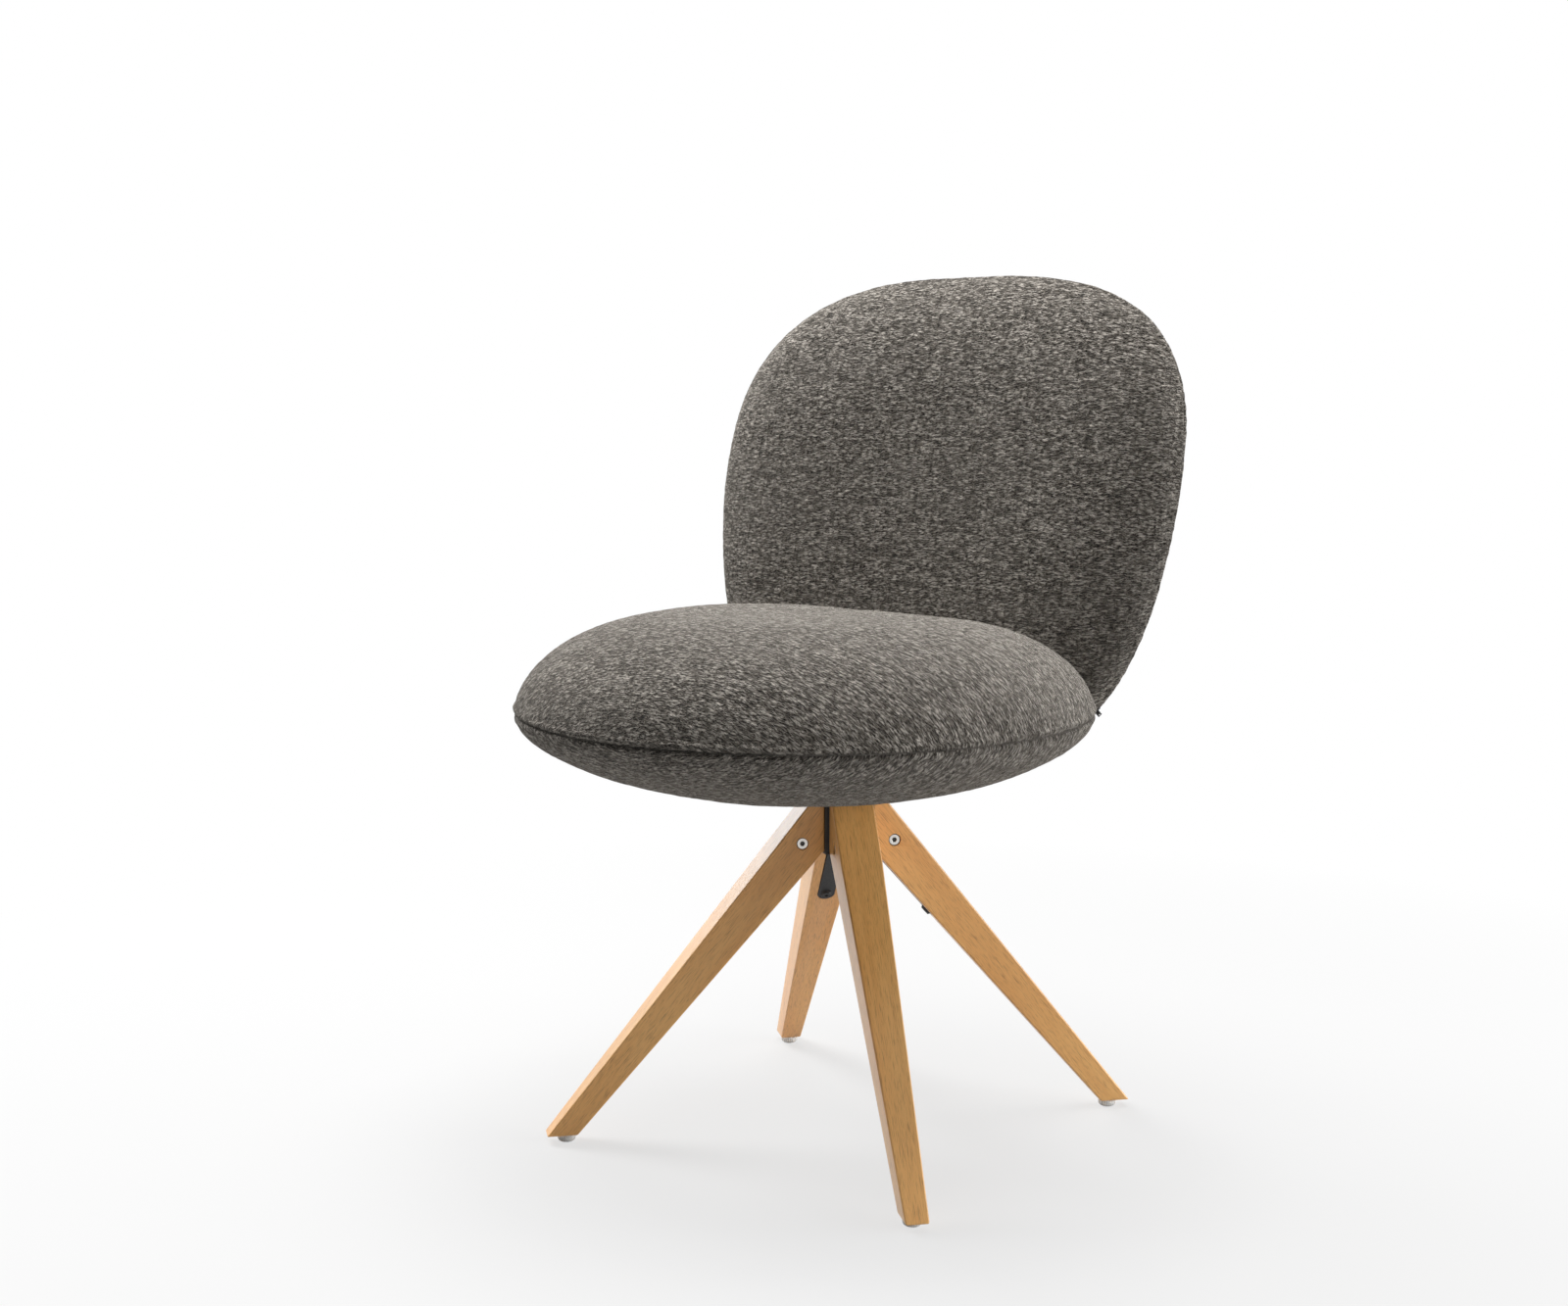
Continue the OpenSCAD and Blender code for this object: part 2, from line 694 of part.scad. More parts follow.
// Outline of a tee nut, or of its seat in the board where it has no bore
module tee_nut_body() {
  barrel_h = board_t * tee_barrel_share;
  translate([0, 0, -tee_flange_t])
    cylinder(r = seat_bolt_d / 2 + tee_flange_w, h = tee_flange_t, $fn = fine);
  translate([0, 0, -barrel_h])
    cylinder(r = seat_bolt_d / 2 + tee_wall, h = barrel_h, $fn = fine);
}
module tee_nuts() {
  color([0.72, 0.7, 0.62]) at_axis(board_top_z) at_every_seat_bolt() difference() {
    tee_nut_body();
    translate([0, 0, -board_t])
      cylinder(r = seat_bolt_d / 2 + fit_gap, h = board_t + over, $fn = fine);
  }
}
module seat_block() {
  color([0.72, 0.55, 0.36]) at_axis(block_z) difference() {
    cylinder(d = plate_d, h = block_h, $fn = coarse);
    seat_bolt_holes(block_h);
  }
}

// Seat cushion
module rear_cutter(depth) {
  reach = 3 * (seam_rise + crown_h);
  translate([0, axis_y + rear_cut_y, rear_cut_z]) rotate([-rear_cut_lean, 0, 0])
    translate([0, -rear_cut_r, -reach / 2])
      cylinder(r = rear_cut_r - depth, h = reach, $fn = shallow);
}
module inside_rear_cut(depth) {
  intersection() {
    children();
    rear_cutter(depth);
  }
}
// Slots that the brackets pass through
module bracket_slots(gap) {
  for (side = [-1, 1])
    translate([side * bracket_x - bracket_w / 2 - gap, axis_y - bracket_start - gap,
               board_top_z - gap])
      cube([bracket_w + 2 * gap, bracket_start + back_set, bracket_t + 2 * gap]);
}
// Crown of the seat at an angle from its middle (0) to its seam (90), as [radius, height]
function crown(t, inset) = let(share = pow(sin(t), 2 / crown_power)) [
  (seat_r - inset) * share,
  seam_z + (crown_h - inset) * pow(cos(t), 2 / crown_round)
    - dish_h * exp(-pow(share / dish_share, 2)) * cos(t)
];
function crown_line(inset) = concat(
  [for (i = [0:crown_steps]) crown(i * crown_end / crown_steps, inset)],
  [for (e = seam_edge) [seat_r - inset - seam_in * e[0], seam_z + e[1]]]
);
module crown_solid(inset, inner_line) {
  at_seat(0) rotate_extrude($fn = coarse) polygon(concat(crown_line(inset), inner_line));
}
// Rings of the bowl under the seat, from its flat bottom out to its seam
function bowl_ring(t, inset) = let(share = pow(sin(t), bowl_power)) [for (j = [0:seat_sides - 1])
  let(a = j * 360 / seat_sides, r = (seat_r - inset) * share) [
    r * sin(a),
    bowl_shift * (1 - share * share) - r * cos(a),
    max(under_z + inset, seam_z - (bowl_h - inset) * cos(t))
  ]];
function bowl_edge(e, inset) = [for (j = [0:seat_sides - 1])
  let(a = j * 360 / seat_sides, r = seat_r - inset - seam_in * e[0])
  [r * sin(a), -r * cos(a), seam_z - e[1]]];
function bowl_rings(inset) = concat(
  [for (t = bowl_steps) bowl_ring(t, inset)],
  [for (e = seam_edge) bowl_edge(e, inset)]
);
module bowl_solid(inset) {
  at_seat(0) closed_skin([0, bowl_shift, under_z + inset], bowl_rings(inset),
    [0, 0, seam_z - seam_half_gap]);
}
module bowl_opening() {
  at_axis(under_z - over)
    cylinder(r = plate_d / 2 + layer_gap, h = board_z - under_z + over, $fn = coarse);
}
module seat_cover_top() {
  color([0.36, 0.34, 0.32]) inside_rear_cut(0)
    crown_solid(0, reversed(crown_line(cover_t)));
}
module seat_foam() {
  inset = cover_t + layer_gap;
  color([0.93, 0.88, 0.7]) difference() {
    inside_rear_cut(inset) crown_solid(inset, [
      [board_r, seam_z + seam_half_gap],
      [board_r, board_top_z + layer_gap],
      [0, board_top_z + layer_gap]
    ]);
    bracket_slots(layer_gap);
  }
}
module seat_cover_bottom() {
  color([0.36, 0.34, 0.32]) difference() {
    inside_rear_cut(0) at_seat(0) closed_skin([0, bowl_shift, under_z],
      concat(bowl_rings(0), reversed(bowl_rings(cover_t))), [0, bowl_shift, under_z + cover_t]);
    bowl_opening();
  }
}
module seat_bottom_pad() {
  inset = cover_t + layer_gap;
  color([0.93, 0.88, 0.7]) difference() {
    inside_rear_cut(inset) bowl_solid(inset);
    bowl_opening();
    at_seat(board_z - layer_gap) cylinder(r = board_r + layer_gap, h = bowl_h, $fn = coarse);
    bracket_slots(layer_gap);
  }
}
module seat_rear_panel() {
  inset = cover_t + layer_gap;
  color([0.36, 0.34, 0.32]) difference() {
    inside_rear_cut(0) union() {
      crown_solid(inset, [[0, seam_z + seam_half_gap]]);
      bowl_solid(inset);
    }
    rear_cutter(cover_t);
    bracket_slots(layer_gap);
  }
}
module seat_board() {
  edge_gap = cover_t + 2 * layer_gap + bracket_t;
  color([0.72, 0.55, 0.36]) difference() {
    inside_rear_cut(edge_gap) at_seat(board_z) cylinder(r = board_r, h = board_t, $fn = coarse);
    at_axis(board_z) seat_bolt_holes(board_t);
    at_axis(board_top_z) at_every_seat_bolt() tee_nut_body();
    at_every_seat_screw() translate([0, 0, -bracket_t - screw_len])
      cylinder(r = screw_r, h = bracket_t + screw_len, $fn = fine);
  }
}

// Back brackets: bent flat steel from the seat board up the front of the back shell.
// A point of the shell's slope at a height lies a depth w behind the seam surface
bracket_front = -bracket_in - bracket_t;
bracket_top_z = board_top_z + bracket_rise;
function slope_y(w, z) = back_set + w / cos(recline) + back_run * (z - back_mid_z);
module at_brackets() {
  for (side = [-1, 1]) translate([side * bracket_x, axis_y, 0]) children();
}
// Gives an outline in the chair's middle plane a width centred on its own plane
module across_bracket(width) {
  translate([-width / 2, 0, 0]) rotate([90, 0, 90]) linear_extrude(width) children();
}
module at_every_seat_screw() {
  at_brackets() for (y = seat_screw_y) translate([0, y, board_top_z + bracket_t]) children();
}
module at_every_back_screw() {
  at_brackets() for (rise = back_screw_rise)
    translate([0, slope_y(bracket_front, board_top_z + rise), board_top_z + rise])
      rotate([90 - recline, 0, 0]) children();
}
// A countersunk screw whose head is flush with the plane it is placed on
module countersunk_screw(len) {
  translate([0, 0, -screw_head_t])
    cylinder(r1 = screw_r, r2 = 2 * screw_r, h = screw_head_t, $fn = fine);
  translate([0, 0, -len]) cylinder(r = screw_r, h = len, $fn = fine);
}
module back_brackets() {
  color([0.3, 0.31, 0.33]) difference() {
    at_brackets() across_bracket(bracket_w) polygon([
      [-bracket_start, board_top_z],
      [slope_y(-bracket_in, board_top_z), board_top_z],
      [slope_y(-bracket_in, bracket_top_z), bracket_top_z],
      [slope_y(bracket_front, bracket_top_z), bracket_top_z],
      [slope_y(bracket_front, board_top_z + bracket_t), board_top_z + bracket_t],
      [-bracket_start, board_top_z + bracket_t]
    ]);
    at_every_seat_screw() countersunk_screw(bracket_t + screw_len);
    at_every_back_screw() countersunk_screw(bracket_t + screw_len);
  }
}
module bracket_screws_seat() {
  color([0.75, 0.74, 0.7]) at_every_seat_screw() countersunk_screw(bracket_t + screw_len);
}
module bracket_screws_back() {
  color([0.75, 0.74, 0.7]) at_every_back_screw() countersunk_screw(back_screw_len);
}

// Back shell
module back_shell() {
  reach = 2 * (back_up + back_down);
  low_z = board_top_z - fit_gap;
  high_z = bracket_top_z + fit_gap;
  color([0.72, 0.55, 0.36]) difference() {
    intersection() {
      translate([0, axis_y + back_set + reach / 2, back_mid_z]) rotate([90, 0, 0])
        linear_extrude(reach) polygon([for (j = [0:seat_sides - 1])
          back_edge(j * 360 / seat_sides, shell_inset)]);
      translate([0, axis_y + back_set, back_mid_z]) rotate([-recline, 0, 0])
        translate([0, -curve_r, -reach / 2])
          washer(curve_r + shell_t / 2, curve_r - shell_t / 2, reach, shallow);
    }
    at_brackets() across_bracket(bracket_w + 2 * fit_gap) polygon([
      [slope_y(-bracket_in, low_z), low_z],
      [slope_y(-bracket_in, high_z), high_z],
      [slope_y(bracket_front - shell_t, high_z), high_z],
      [slope_y(bracket_front - shell_t, low_z), low_z]
    ]);
    at_every_back_screw() translate([0, 0, -back_screw_len])
      cylinder(r = screw_r, h = back_screw_len, $fn = fine);
  }
}

// Back pads. A ring lies at a share of the outline, off the seam surface by a height:
// side -1 is the front, towards the sitter, and side 1 the rear
function pad_ring(share, inset, h, side, sides) = [for (j = [0:sides - 1])
  let(p = share * back_edge(side * j * 360 / sides, inset), z = back_mid_z + p[1])
  [p[0], axis_y + back_y(p[0], z) + side * h, z]];
function pad_pole(h) = [0, axis_y + back_set + h, back_mid_z];
function pad_shares() = [for (i = [1:pad_steps]) sqrt(sin(i * pad_step))];
function pad_rings(inset, full, side) = concat(
  [for (s = pad_shares()) pad_ring(s, inset, (full - inset) * pad_full(s), side, pad_sides)],
  [for (e = seam_edge) pad_ring(1, inset + seam_in * e[0], e[1], side, pad_sides)]
);
module pad_cover(full, side) {
  closed_skin(pad_pole(side * full),
    concat(pad_rings(0, full, side), reversed(pad_rings(cover_t, full, side))),
    pad_pole(side * (full - cover_t)));
}
module pad_foam(full, side) {
  top = full - cover_t - foam_gap;
  closed_skin(
    pad_pole(side * top),
    concat(
      [for (s = pad_shares())
        pad_ring(s, foam_inset, max(foam_base, top * pad_full(s)), side, foam_sides)],
      [pad_ring(1, foam_inset, foam_base, side, foam_sides)],
      [for (s = base_shares) pad_ring(s, foam_inset, foam_base, side, foam_sides)]
    ),
    pad_pole(side * foam_base));
}
module back_foam_front() {
  color([0.93, 0.88, 0.7]) difference() {
    pad_foam(front_full, -1);
    bracket_slots(layer_gap);
  }
}
module back_foam_rear() {
  color([0.93, 0.88, 0.7]) pad_foam(rear_full, 1);
}
module back_cover_front() {
  color([0.36, 0.34, 0.32]) difference() {
    pad_cover(front_full, -1);
    bracket_slots(layer_gap);
  }
}
module back_cover_rear() {
  color([0.36, 0.34, 0.32]) pad_cover(rear_full, 1);
}

// Zip: a strip in the groove of the lower seam, and a slider with its pull at one end
function zip_point(a, inset, h) = let(p = back_edge(a, inset), z = back_mid_z + p[1])
  [p[0], axis_y + back_y(p[0], z) + h, z];
function zip_section(a) = [
  zip_point(a, zip_outer, -zip_w / 2),
  zip_point(a, zip_outer, zip_w / 2),
  zip_point(a, zip_inner, zip_inner_w / 2),
  zip_point(a, zip_inner, -zip_inner_w / 2)
];
module back_zip() {
  start = -zip_end;
  step = 2 * (zip_end - 90) / zip_steps;
  sections = [for (i = [0:zip_steps]) zip_section(start + i * step)];
  middle = (zip_inner + zip_outer) / 2;
  color([0.12, 0.12, 0.12]) closed_skin(zip_point(start, middle, 0), sections,
    zip_point(zip_end - 180, middle, 0));
}
module zip_pull() {
  a = zip_end - 180;
  here = zip_point(a, 0, 0);
  before = back_edge(a - 1, 0);
  after = back_edge(a + 1, 0);
  turn = atan2(after[1] - before[1], after[0] - before[0]);
  color([0.12, 0.12, 0.12]) translate(here) rotate([0, -turn, 0]) {
    translate([-slider[0] / 2, -slider[1] / 2, zip_outer - slider[2]]) cube(slider);
    translate([0, pull_t / 2, 0]) rotate([90, 0, 0]) difference() {
      translate([-slider[1] / 2, -pull_len, 0]) cube([slider[1], pull_len, pull_t]);
      translate([0, -pull_len + slider[1] / 2, -over])
        cylinder(d = slider[1] / 2, h = pull_t + 2 * over, $fn = fine);
    }
  }
}

leg_front_left();
leg_front_right();
leg_rear_left();
leg_rear_right();
foot_glides();
glide_pins();
hub_tube();
hub_fins();
hub_top_plate();
leg_bolts();
leg_sleeve_nuts();
leg_brace();
brace_screws();
bearing_housing();
lower_bush();
upper_bush();
thrust_race_lower();
thrust_balls();
thrust_cage();
thrust_race_upper();
spindle();
spindle_washer();
circlip();
seat_plate();
seat_bolts();
seat_bolt_washers();
tee_nuts();
seat_block();
seat_board();
seat_foam();
seat_bottom_pad();
seat_cover_top();
seat_cover_bottom();
seat_rear_panel();
back_brackets();
bracket_screws_seat();
bracket_screws_back();
back_shell();
back_foam_front();
back_foam_rear();
back_cover_front();
back_cover_rear();
back_zip();
zip_pull();
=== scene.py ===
import bmesh
import bpy
import json
import math
import numpy as np
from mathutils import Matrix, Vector, noise
from mathutils.bvhtree import BVHTree


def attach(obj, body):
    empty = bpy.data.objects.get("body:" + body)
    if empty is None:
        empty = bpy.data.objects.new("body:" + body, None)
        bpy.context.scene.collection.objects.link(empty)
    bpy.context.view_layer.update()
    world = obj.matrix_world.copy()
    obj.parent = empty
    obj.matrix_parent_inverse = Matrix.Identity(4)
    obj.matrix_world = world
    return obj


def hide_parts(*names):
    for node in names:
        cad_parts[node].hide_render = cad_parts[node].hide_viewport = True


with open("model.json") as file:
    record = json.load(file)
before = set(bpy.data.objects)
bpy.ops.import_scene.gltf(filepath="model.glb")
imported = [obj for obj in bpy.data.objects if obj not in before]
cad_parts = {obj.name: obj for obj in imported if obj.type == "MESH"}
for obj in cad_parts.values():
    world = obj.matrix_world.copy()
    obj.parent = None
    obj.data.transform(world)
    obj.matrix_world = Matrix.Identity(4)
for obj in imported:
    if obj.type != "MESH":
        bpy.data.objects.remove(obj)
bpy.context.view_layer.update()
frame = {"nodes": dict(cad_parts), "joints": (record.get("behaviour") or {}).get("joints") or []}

nodes = frame["nodes"]
MM = 0.001

# Swivel axis. The whole chair is set out from this upright line: the legs splay from it, and the
# seat, spindle and back turn about it.
AXIS_Y = frame["joints"][0]["pos_m"][1]

# Timber legs: four tapered beech legs, splayed on the diagonals, oiled, with softened arrises and
# fine dark flecks along the grain. Each stands for its CAD solid and keeps its slots and drillings.
LEG_ANGLES = {
    "leg_front_left": 45,
    "leg_front_right": -45,
    "leg_rear_left": 135,
    "leg_rear_right": 225,
}
LEG_SLOPE = math.radians(51.5)
LEG_ROUNDING = 1.7 * MM
LEG_SHORTEST_EDGE = 12 * MM


def put(tree, kind, inputs=None, **settings):
    """Adds a shader node: a socket among the inputs is linked, and any other value is set."""
    node = tree.nodes.new("ShaderNode" + kind)
    for name, value in settings.items():
        setattr(node, name, value)
    for name, value in (inputs or {}).items():
        if isinstance(value, bpy.types.NodeSocket):
            tree.links.new(value, node.inputs[name])
        else:
            node.inputs[name].default_value = value
    return node


def new_finish(name, **shader_values):
    """Makes a material and gives it, its tree and its shader."""
    material = bpy.data.materials.new(name)
    material.use_nodes = True
    shader = material.node_tree.nodes["Principled BSDF"]
    for socket, value in shader_values.items():
        shader.inputs[socket.replace("_", " ")].default_value = value
    return material, material.node_tree, shader


def srgb(red, green, blue):
    """A colour written as on a screen, 0 to 255, for a shader."""
    levels = [value / 255 for value in (red, green, blue)]
    return [v / 12.92 if v <= 0.04045 else ((v + 0.055) / 1.055) ** 2.4 for v in levels] + [1.0]


def colour_steps(tree, factor, steps):
    """A colour ramp over a factor, from pairs of place and colour."""
    ramp = put(tree, "ValToRGB", {"Fac": factor})
    elements = ramp.color_ramp.elements
    while len(elements) < len(steps):
        elements.new(0.5)
    for element, (place, colour) in zip(elements, steps):
        element.position = place
        element.color = colour
    return ramp.outputs["Color"]


def spread(tree, factor, low, high, to_low=0.0, to_high=1.0):
    """Maps a span of a factor to another span, held at its ends."""
    return put(tree, "MapRange", {"Value": factor, "From Min": low, "From Max": high,
                                  "To Min": to_low, "To Max": to_high}).outputs["Result"]


def mixed(tree, factor, first, second):
    """Mixes two colours."""
    return put(tree, "Mix", {0: factor, 6: first, 7: second}, data_type="RGBA").outputs[2]


def noise_on(tree, vector, scale, stretch=(1, 1, 1), detail=3.0, roughness=0.5):
    """Noise on a vector, drawn out by a stretch along each axis."""
    mapping = put(tree, "Mapping", {"Vector": vector, "Scale": [scale * s for s in stretch]})
    node = put(tree, "TexNoise", {"Vector": mapping.outputs["Vector"], "Scale": 1.0,
                                  "Detail": detail, "Roughness": roughness})
    return node.outputs["Fac"]


def raise_surface(tree, shader, height, distance, strength=1.0):
    """Bump from a height of 0 to 1 over a distance in metres."""
    bump = put(tree, "Bump", {"Height": height, "Distance": distance, "Strength": strength})
    tree.links.new(bump.outputs["Normal"], shader.inputs["Normal"])


def merged_solid(node):
    """A CAD solid's mesh as a bmesh, with its triangles joined and its flat faces made whole."""
    solid = bmesh.new()
    solid.from_mesh(nodes[node].data)
    bmesh.ops.remove_doubles(solid, verts=solid.verts, dist=0.002 * MM)
    bmesh.ops.dissolve_limit(solid, angle_limit=math.radians(0.4), verts=solid.verts,
                             edges=solid.edges)
    return solid


def soften_edges(solid, width, shortest, segments=3):
    """Rounds the sharp edges of a bmesh that are longer than a length."""
    sharp = [e for e in solid.edges if len(e.link_faces) == 2
             and e.calc_face_angle(0) > math.radians(20) and e.calc_length() > shortest]
    bmesh.ops.bevel(solid, geom=sharp, offset=width, offset_type="OFFSET", segments=segments,
                    profile=0.5, affect="EDGES", clamp_overlap=False)


def new_piece(name, solid, body, slot, finish, *stands_for):
    """Makes a piece from a bmesh or a mesh, smooth up to 35 degrees, riding on its body."""
    if isinstance(solid, bmesh.types.BMesh):
        mesh = bpy.data.meshes.new(name)
        solid.to_mesh(mesh)
        solid.free()
    else:
        mesh = solid
    mesh.materials.clear()
    mesh.materials.append(finish)
    mesh.polygons.foreach_set("use_smooth", [True] * len(mesh.polygons))
    mesh.set_sharp_from_angle(angle=math.radians(35))
    piece = bpy.data.objects.new(name, mesh)
    bpy.context.scene.collection.objects.link(piece)
    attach(piece, body)
    if stands_for:
        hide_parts(*stands_for)
    return piece


def flatten_faces(piece):
    """Keeps the large faces of a piece flat in the light beside their rounded edges."""
    even = piece.modifiers.new("flat_faces", "WEIGHTED_NORMAL")
    even.weight = 80
    even.keep_sharp = True


def mesh_points(mesh):
    """A mesh's points as an array."""
    flat = np.zeros(len(mesh.vertices) * 3, np.float32)
    mesh.vertices.foreach_get("co", flat)
    return flat.reshape(-1, 3).astype(float)


def lay_attribute(mesh, name, values):
    """Gives each point of a mesh its own number or vector, for a material to read."""
    kind, field = ("FLOAT_VECTOR", "vector") if values.ndim == 2 else ("FLOAT", "value")
    layer = mesh.attributes.new(name, kind, "POINT")
    layer.data.foreach_set(field, values.astype(np.float32).ravel())


def beech_finish():
    """Oiled beech: straight growth lines, fine pores along the grain and a few dark flecks."""
    beech, tree, shader = new_finish("oiled_beech", Roughness=0.4, Specular_IOR_Level=0.35,
                                     Coat_Weight=0.7, Coat_Roughness=0.3)
    grain = put(tree, "Attribute", attribute_name="grain").outputs["Vector"]
    clouds = noise_on(tree, grain, 1, (3.2, 26, 26), 3, 0.55)
    lines = noise_on(tree, grain, 1, (4, 260, 150), 4, 0.6)
    pores = noise_on(tree, grain, 1, (85, 1500, 1500), 2, 0.5)
    flecks = noise_on(tree, grain, 1, (38, 900, 900), 2, 0.5)
    wood = colour_steps(tree, clouds, [(0.3, srgb(236, 171, 95)), (0.72, srgb(246, 192, 117))])
    wood = mixed(tree, spread(tree, lines, 0.4, 0.66, 0, 0.3), wood, srgb(217, 152, 82))
    wood = mixed(tree, spread(tree, pores, 0.53, 0.64, 0, 0.4), wood, srgb(162, 104, 50))
    wood = mixed(tree, spread(tree, flecks, 0.64, 0.72, 0, 0.5), wood, srgb(124, 78, 38))
    tree.links.new(wood, shader.inputs["Base Color"])
    raise_surface(tree, shader, spread(tree, pores, 0.66, 0.5), 0.1 * MM, 0.5)
    return beech


beech = beech_finish()
for name, angle in LEG_ANGLES.items():
    solid = merged_solid(name)
    soften_edges(solid, LEG_ROUNDING, LEG_SHORTEST_EDGE)
    leg = new_piece("timber_" + name, solid, "base", "timber", beech, name)
    flatten_faces(leg)
    turn = math.radians(angle - 90)
    outward = np.array([math.cos(turn), math.sin(turn), 0])
    across = np.array([-math.sin(turn), math.cos(turn), 0])
    points = mesh_points(leg.data) - [0, AXIS_Y, 0]
    out = points @ outward
    along = out * math.cos(LEG_SLOPE) - points[:, 2] * math.sin(LEG_SLOPE)
    deep = out * math.sin(LEG_SLOPE) + points[:, 2] * math.cos(LEG_SLOPE)
    # Each leg is sawn from another part of the board
    grain = np.stack([along + angle * 0.013, points @ across + angle * 0.001, deep], 1)
    lay_attribute(leg.data, "grain", grain)

# Glides: a white moulded foot under each leg, a shallow bowl with fine upright ribs round its rim,
# nailed on through its middle.
GLIDE_CIRCLE = 270 * MM
GLIDE_BOWL = 8.75 * MM - 0.35 * MM
GLIDE_FOOT = 4.5 * MM
GLIDE_BORE = 2.75 * MM
GLIDE_HEIGHT = 7.5 * MM
GLIDE_CURVE = 0.6
GLIDE_RIBS = 24
RIB_SIZE = 0.5 * MM


def plastic_finish(name, colour, roughness):
    """Moulded plastic, faintly clouded, with a fine matt grain."""
    plastic, tree, shader = new_finish(name, Roughness=roughness, Specular_IOR_Level=0.5)
    place = put(tree, "TexCoord").outputs["Object"]
    cloud = noise_on(tree, place, 90, detail=2)
    darker = [value * 0.93 for value in colour[:3]] + [1.0]
    tree.links.new(mixed(tree, cloud, darker, colour), shader.inputs["Base Color"])
    raise_surface(tree, shader, noise_on(tree, place, 1400, detail=2), 0.03 * MM, 0.6)
    return plastic


def turned(profile, sides):
    """A closed ring turned from points of radius and height, its faces outward."""
    ring = bmesh.new()
    rows = [[ring.verts.new((r * math.cos(2 * math.pi * j / sides),
                             r * math.sin(2 * math.pi * j / sides), z)) for j in range(sides)]
            for r, z in profile]
    for i, row in enumerate(rows):
        after = rows[(i + 1) % len(rows)]
        for j in range(sides):
            k = (j + 1) % sides
            ring.faces.new((row[j], row[k], after[k], after[j]))
    bmesh.ops.recalc_face_normals(ring, faces=ring.faces)
    return ring


def helper_object(name, mesh):
    """An object for a Geometry Nodes tree to copy; it is deleted once the copies are made."""
    thing = bpy.data.objects.new(name, mesh)
    bpy.context.scene.collection.objects.link(thing)
    return thing


def mesh_of(name, solid):
    """Turns a bmesh into a mesh."""
    mesh = bpy.data.meshes.new(name)
    solid.to_mesh(mesh)
    solid.free()
    return mesh


def new_tree(name, sockets):
    """A Geometry Nodes tree with a geometry in and out and named inputs for its sizes."""
    tree = bpy.data.node_groups.new(name, "GeometryNodeTree")
    tree.interface.new_socket("Geometry", in_out="INPUT", socket_type="NodeSocketGeometry")
    tree.interface.new_socket("Geometry", in_out="OUTPUT", socket_type="NodeSocketGeometry")
    for socket, kind in sockets.items():
        tree.interface.new_socket(socket, in_out="INPUT", socket_type="NodeSocket" + kind)
    return tree


def grow(tree, kind, inputs=None, **settings):
    """Adds a Geometry Nodes node: a socket among the inputs is linked, any other value is set."""
    node = tree.nodes.new(kind)
    for name, value in settings.items():
        setattr(node, name, value)
    for name, value in (inputs or {}).items():
        if isinstance(value, bpy.types.NodeSocket):
            tree.links.new(value, node.inputs[name])
        else:
            node.inputs[name].default_value = value
    return node


def grown_mesh(name, base, tree, values):
    """Runs a tree on a base mesh with its inputs' values, and gives the plain mesh it makes."""
    carrier = helper_object(name + "_carrier", base)
    modifier = carrier.modifiers.new("grow", "NODES")
    modifier.node_group = tree
    for item in tree.interface.items_tree:
        if item.item_type == "SOCKET" and item.in_out == "INPUT" and item.name in values:
            modifier[item.identifier] = values[item.name]
    graph = bpy.context.evaluated_depsgraph_get()
    graph.update()
    mesh = bpy.data.meshes.new_from_object(carrier.evaluated_get(graph))
    mesh.name = name
    carrier.modifiers.remove(modifier)
    bpy.data.objects.remove(carrier)
    return mesh


def glide_tree():
    """A glide's body with its ribs set round it, copied to each foot."""
    tree = new_tree("ribbed_glides", {"Body": "Object", "Rib": "Object", "Ribs": "Int",
                                      "Finish": "Material"})
    given = grow(tree, "NodeGroupInput").outputs
    body = grow(tree, "GeometryNodeObjectInfo", {"Object": given["Body"]}).outputs["Geometry"]
    rib = grow(tree, "GeometryNodeObjectInfo", {"Object": given["Rib"]}).outputs["Geometry"]
    middle = grow(tree, "GeometryNodeMeshLine", {"Count": given["Ribs"], "Offset": (0, 0, 0)})
    step = grow(tree, "ShaderNodeMath", {0: 2 * math.pi, 1: given["Ribs"]}, operation="DIVIDE")
    index = grow(tree, "GeometryNodeInputIndex").outputs["Index"]
    turn = grow(tree, "ShaderNodeMath", {0: index, 1: step.outputs[0]}, operation="MULTIPLY")
    spun = grow(tree, "ShaderNodeCombineXYZ", {"Z": turn.outputs[0]}).outputs["Vector"]
    ribs = grow(tree, "GeometryNodeInstanceOnPoints", {
        "Points": middle.outputs["Mesh"], "Instance": rib, "Rotation": spun})
    glide = grow(tree, "GeometryNodeJoinGeometry")
    tree.links.new(body, glide.inputs["Geometry"])
    tree.links.new(ribs.outputs["Instances"], glide.inputs["Geometry"])
    feet = grow(tree, "GeometryNodeInstanceOnPoints", {
        "Points": given["Geometry"], "Instance": glide.outputs["Geometry"]})
    real = grow(tree, "GeometryNodeRealizeInstances", {"Geometry": feet.outputs["Instances"]})
    finished = grow(tree, "GeometryNodeSetMaterial", {
        "Geometry": real.outputs["Geometry"], "Material": given["Finish"]})
    end = grow(tree, "NodeGroupOutput")
    tree.links.new(finished.outputs["Geometry"], end.inputs["Geometry"])
    return tree


def bowl_curve(turn):
    """Radius and height of the bowl at a turn in degrees, 0 at its foot and 90 at its rim."""
    a = math.radians(turn)
    return (GLIDE_FOOT + (GLIDE_BOWL - GLIDE_FOOT) * math.sin(a),
            GLIDE_CURVE * GLIDE_HEIGHT * (1 - math.cos(a)))


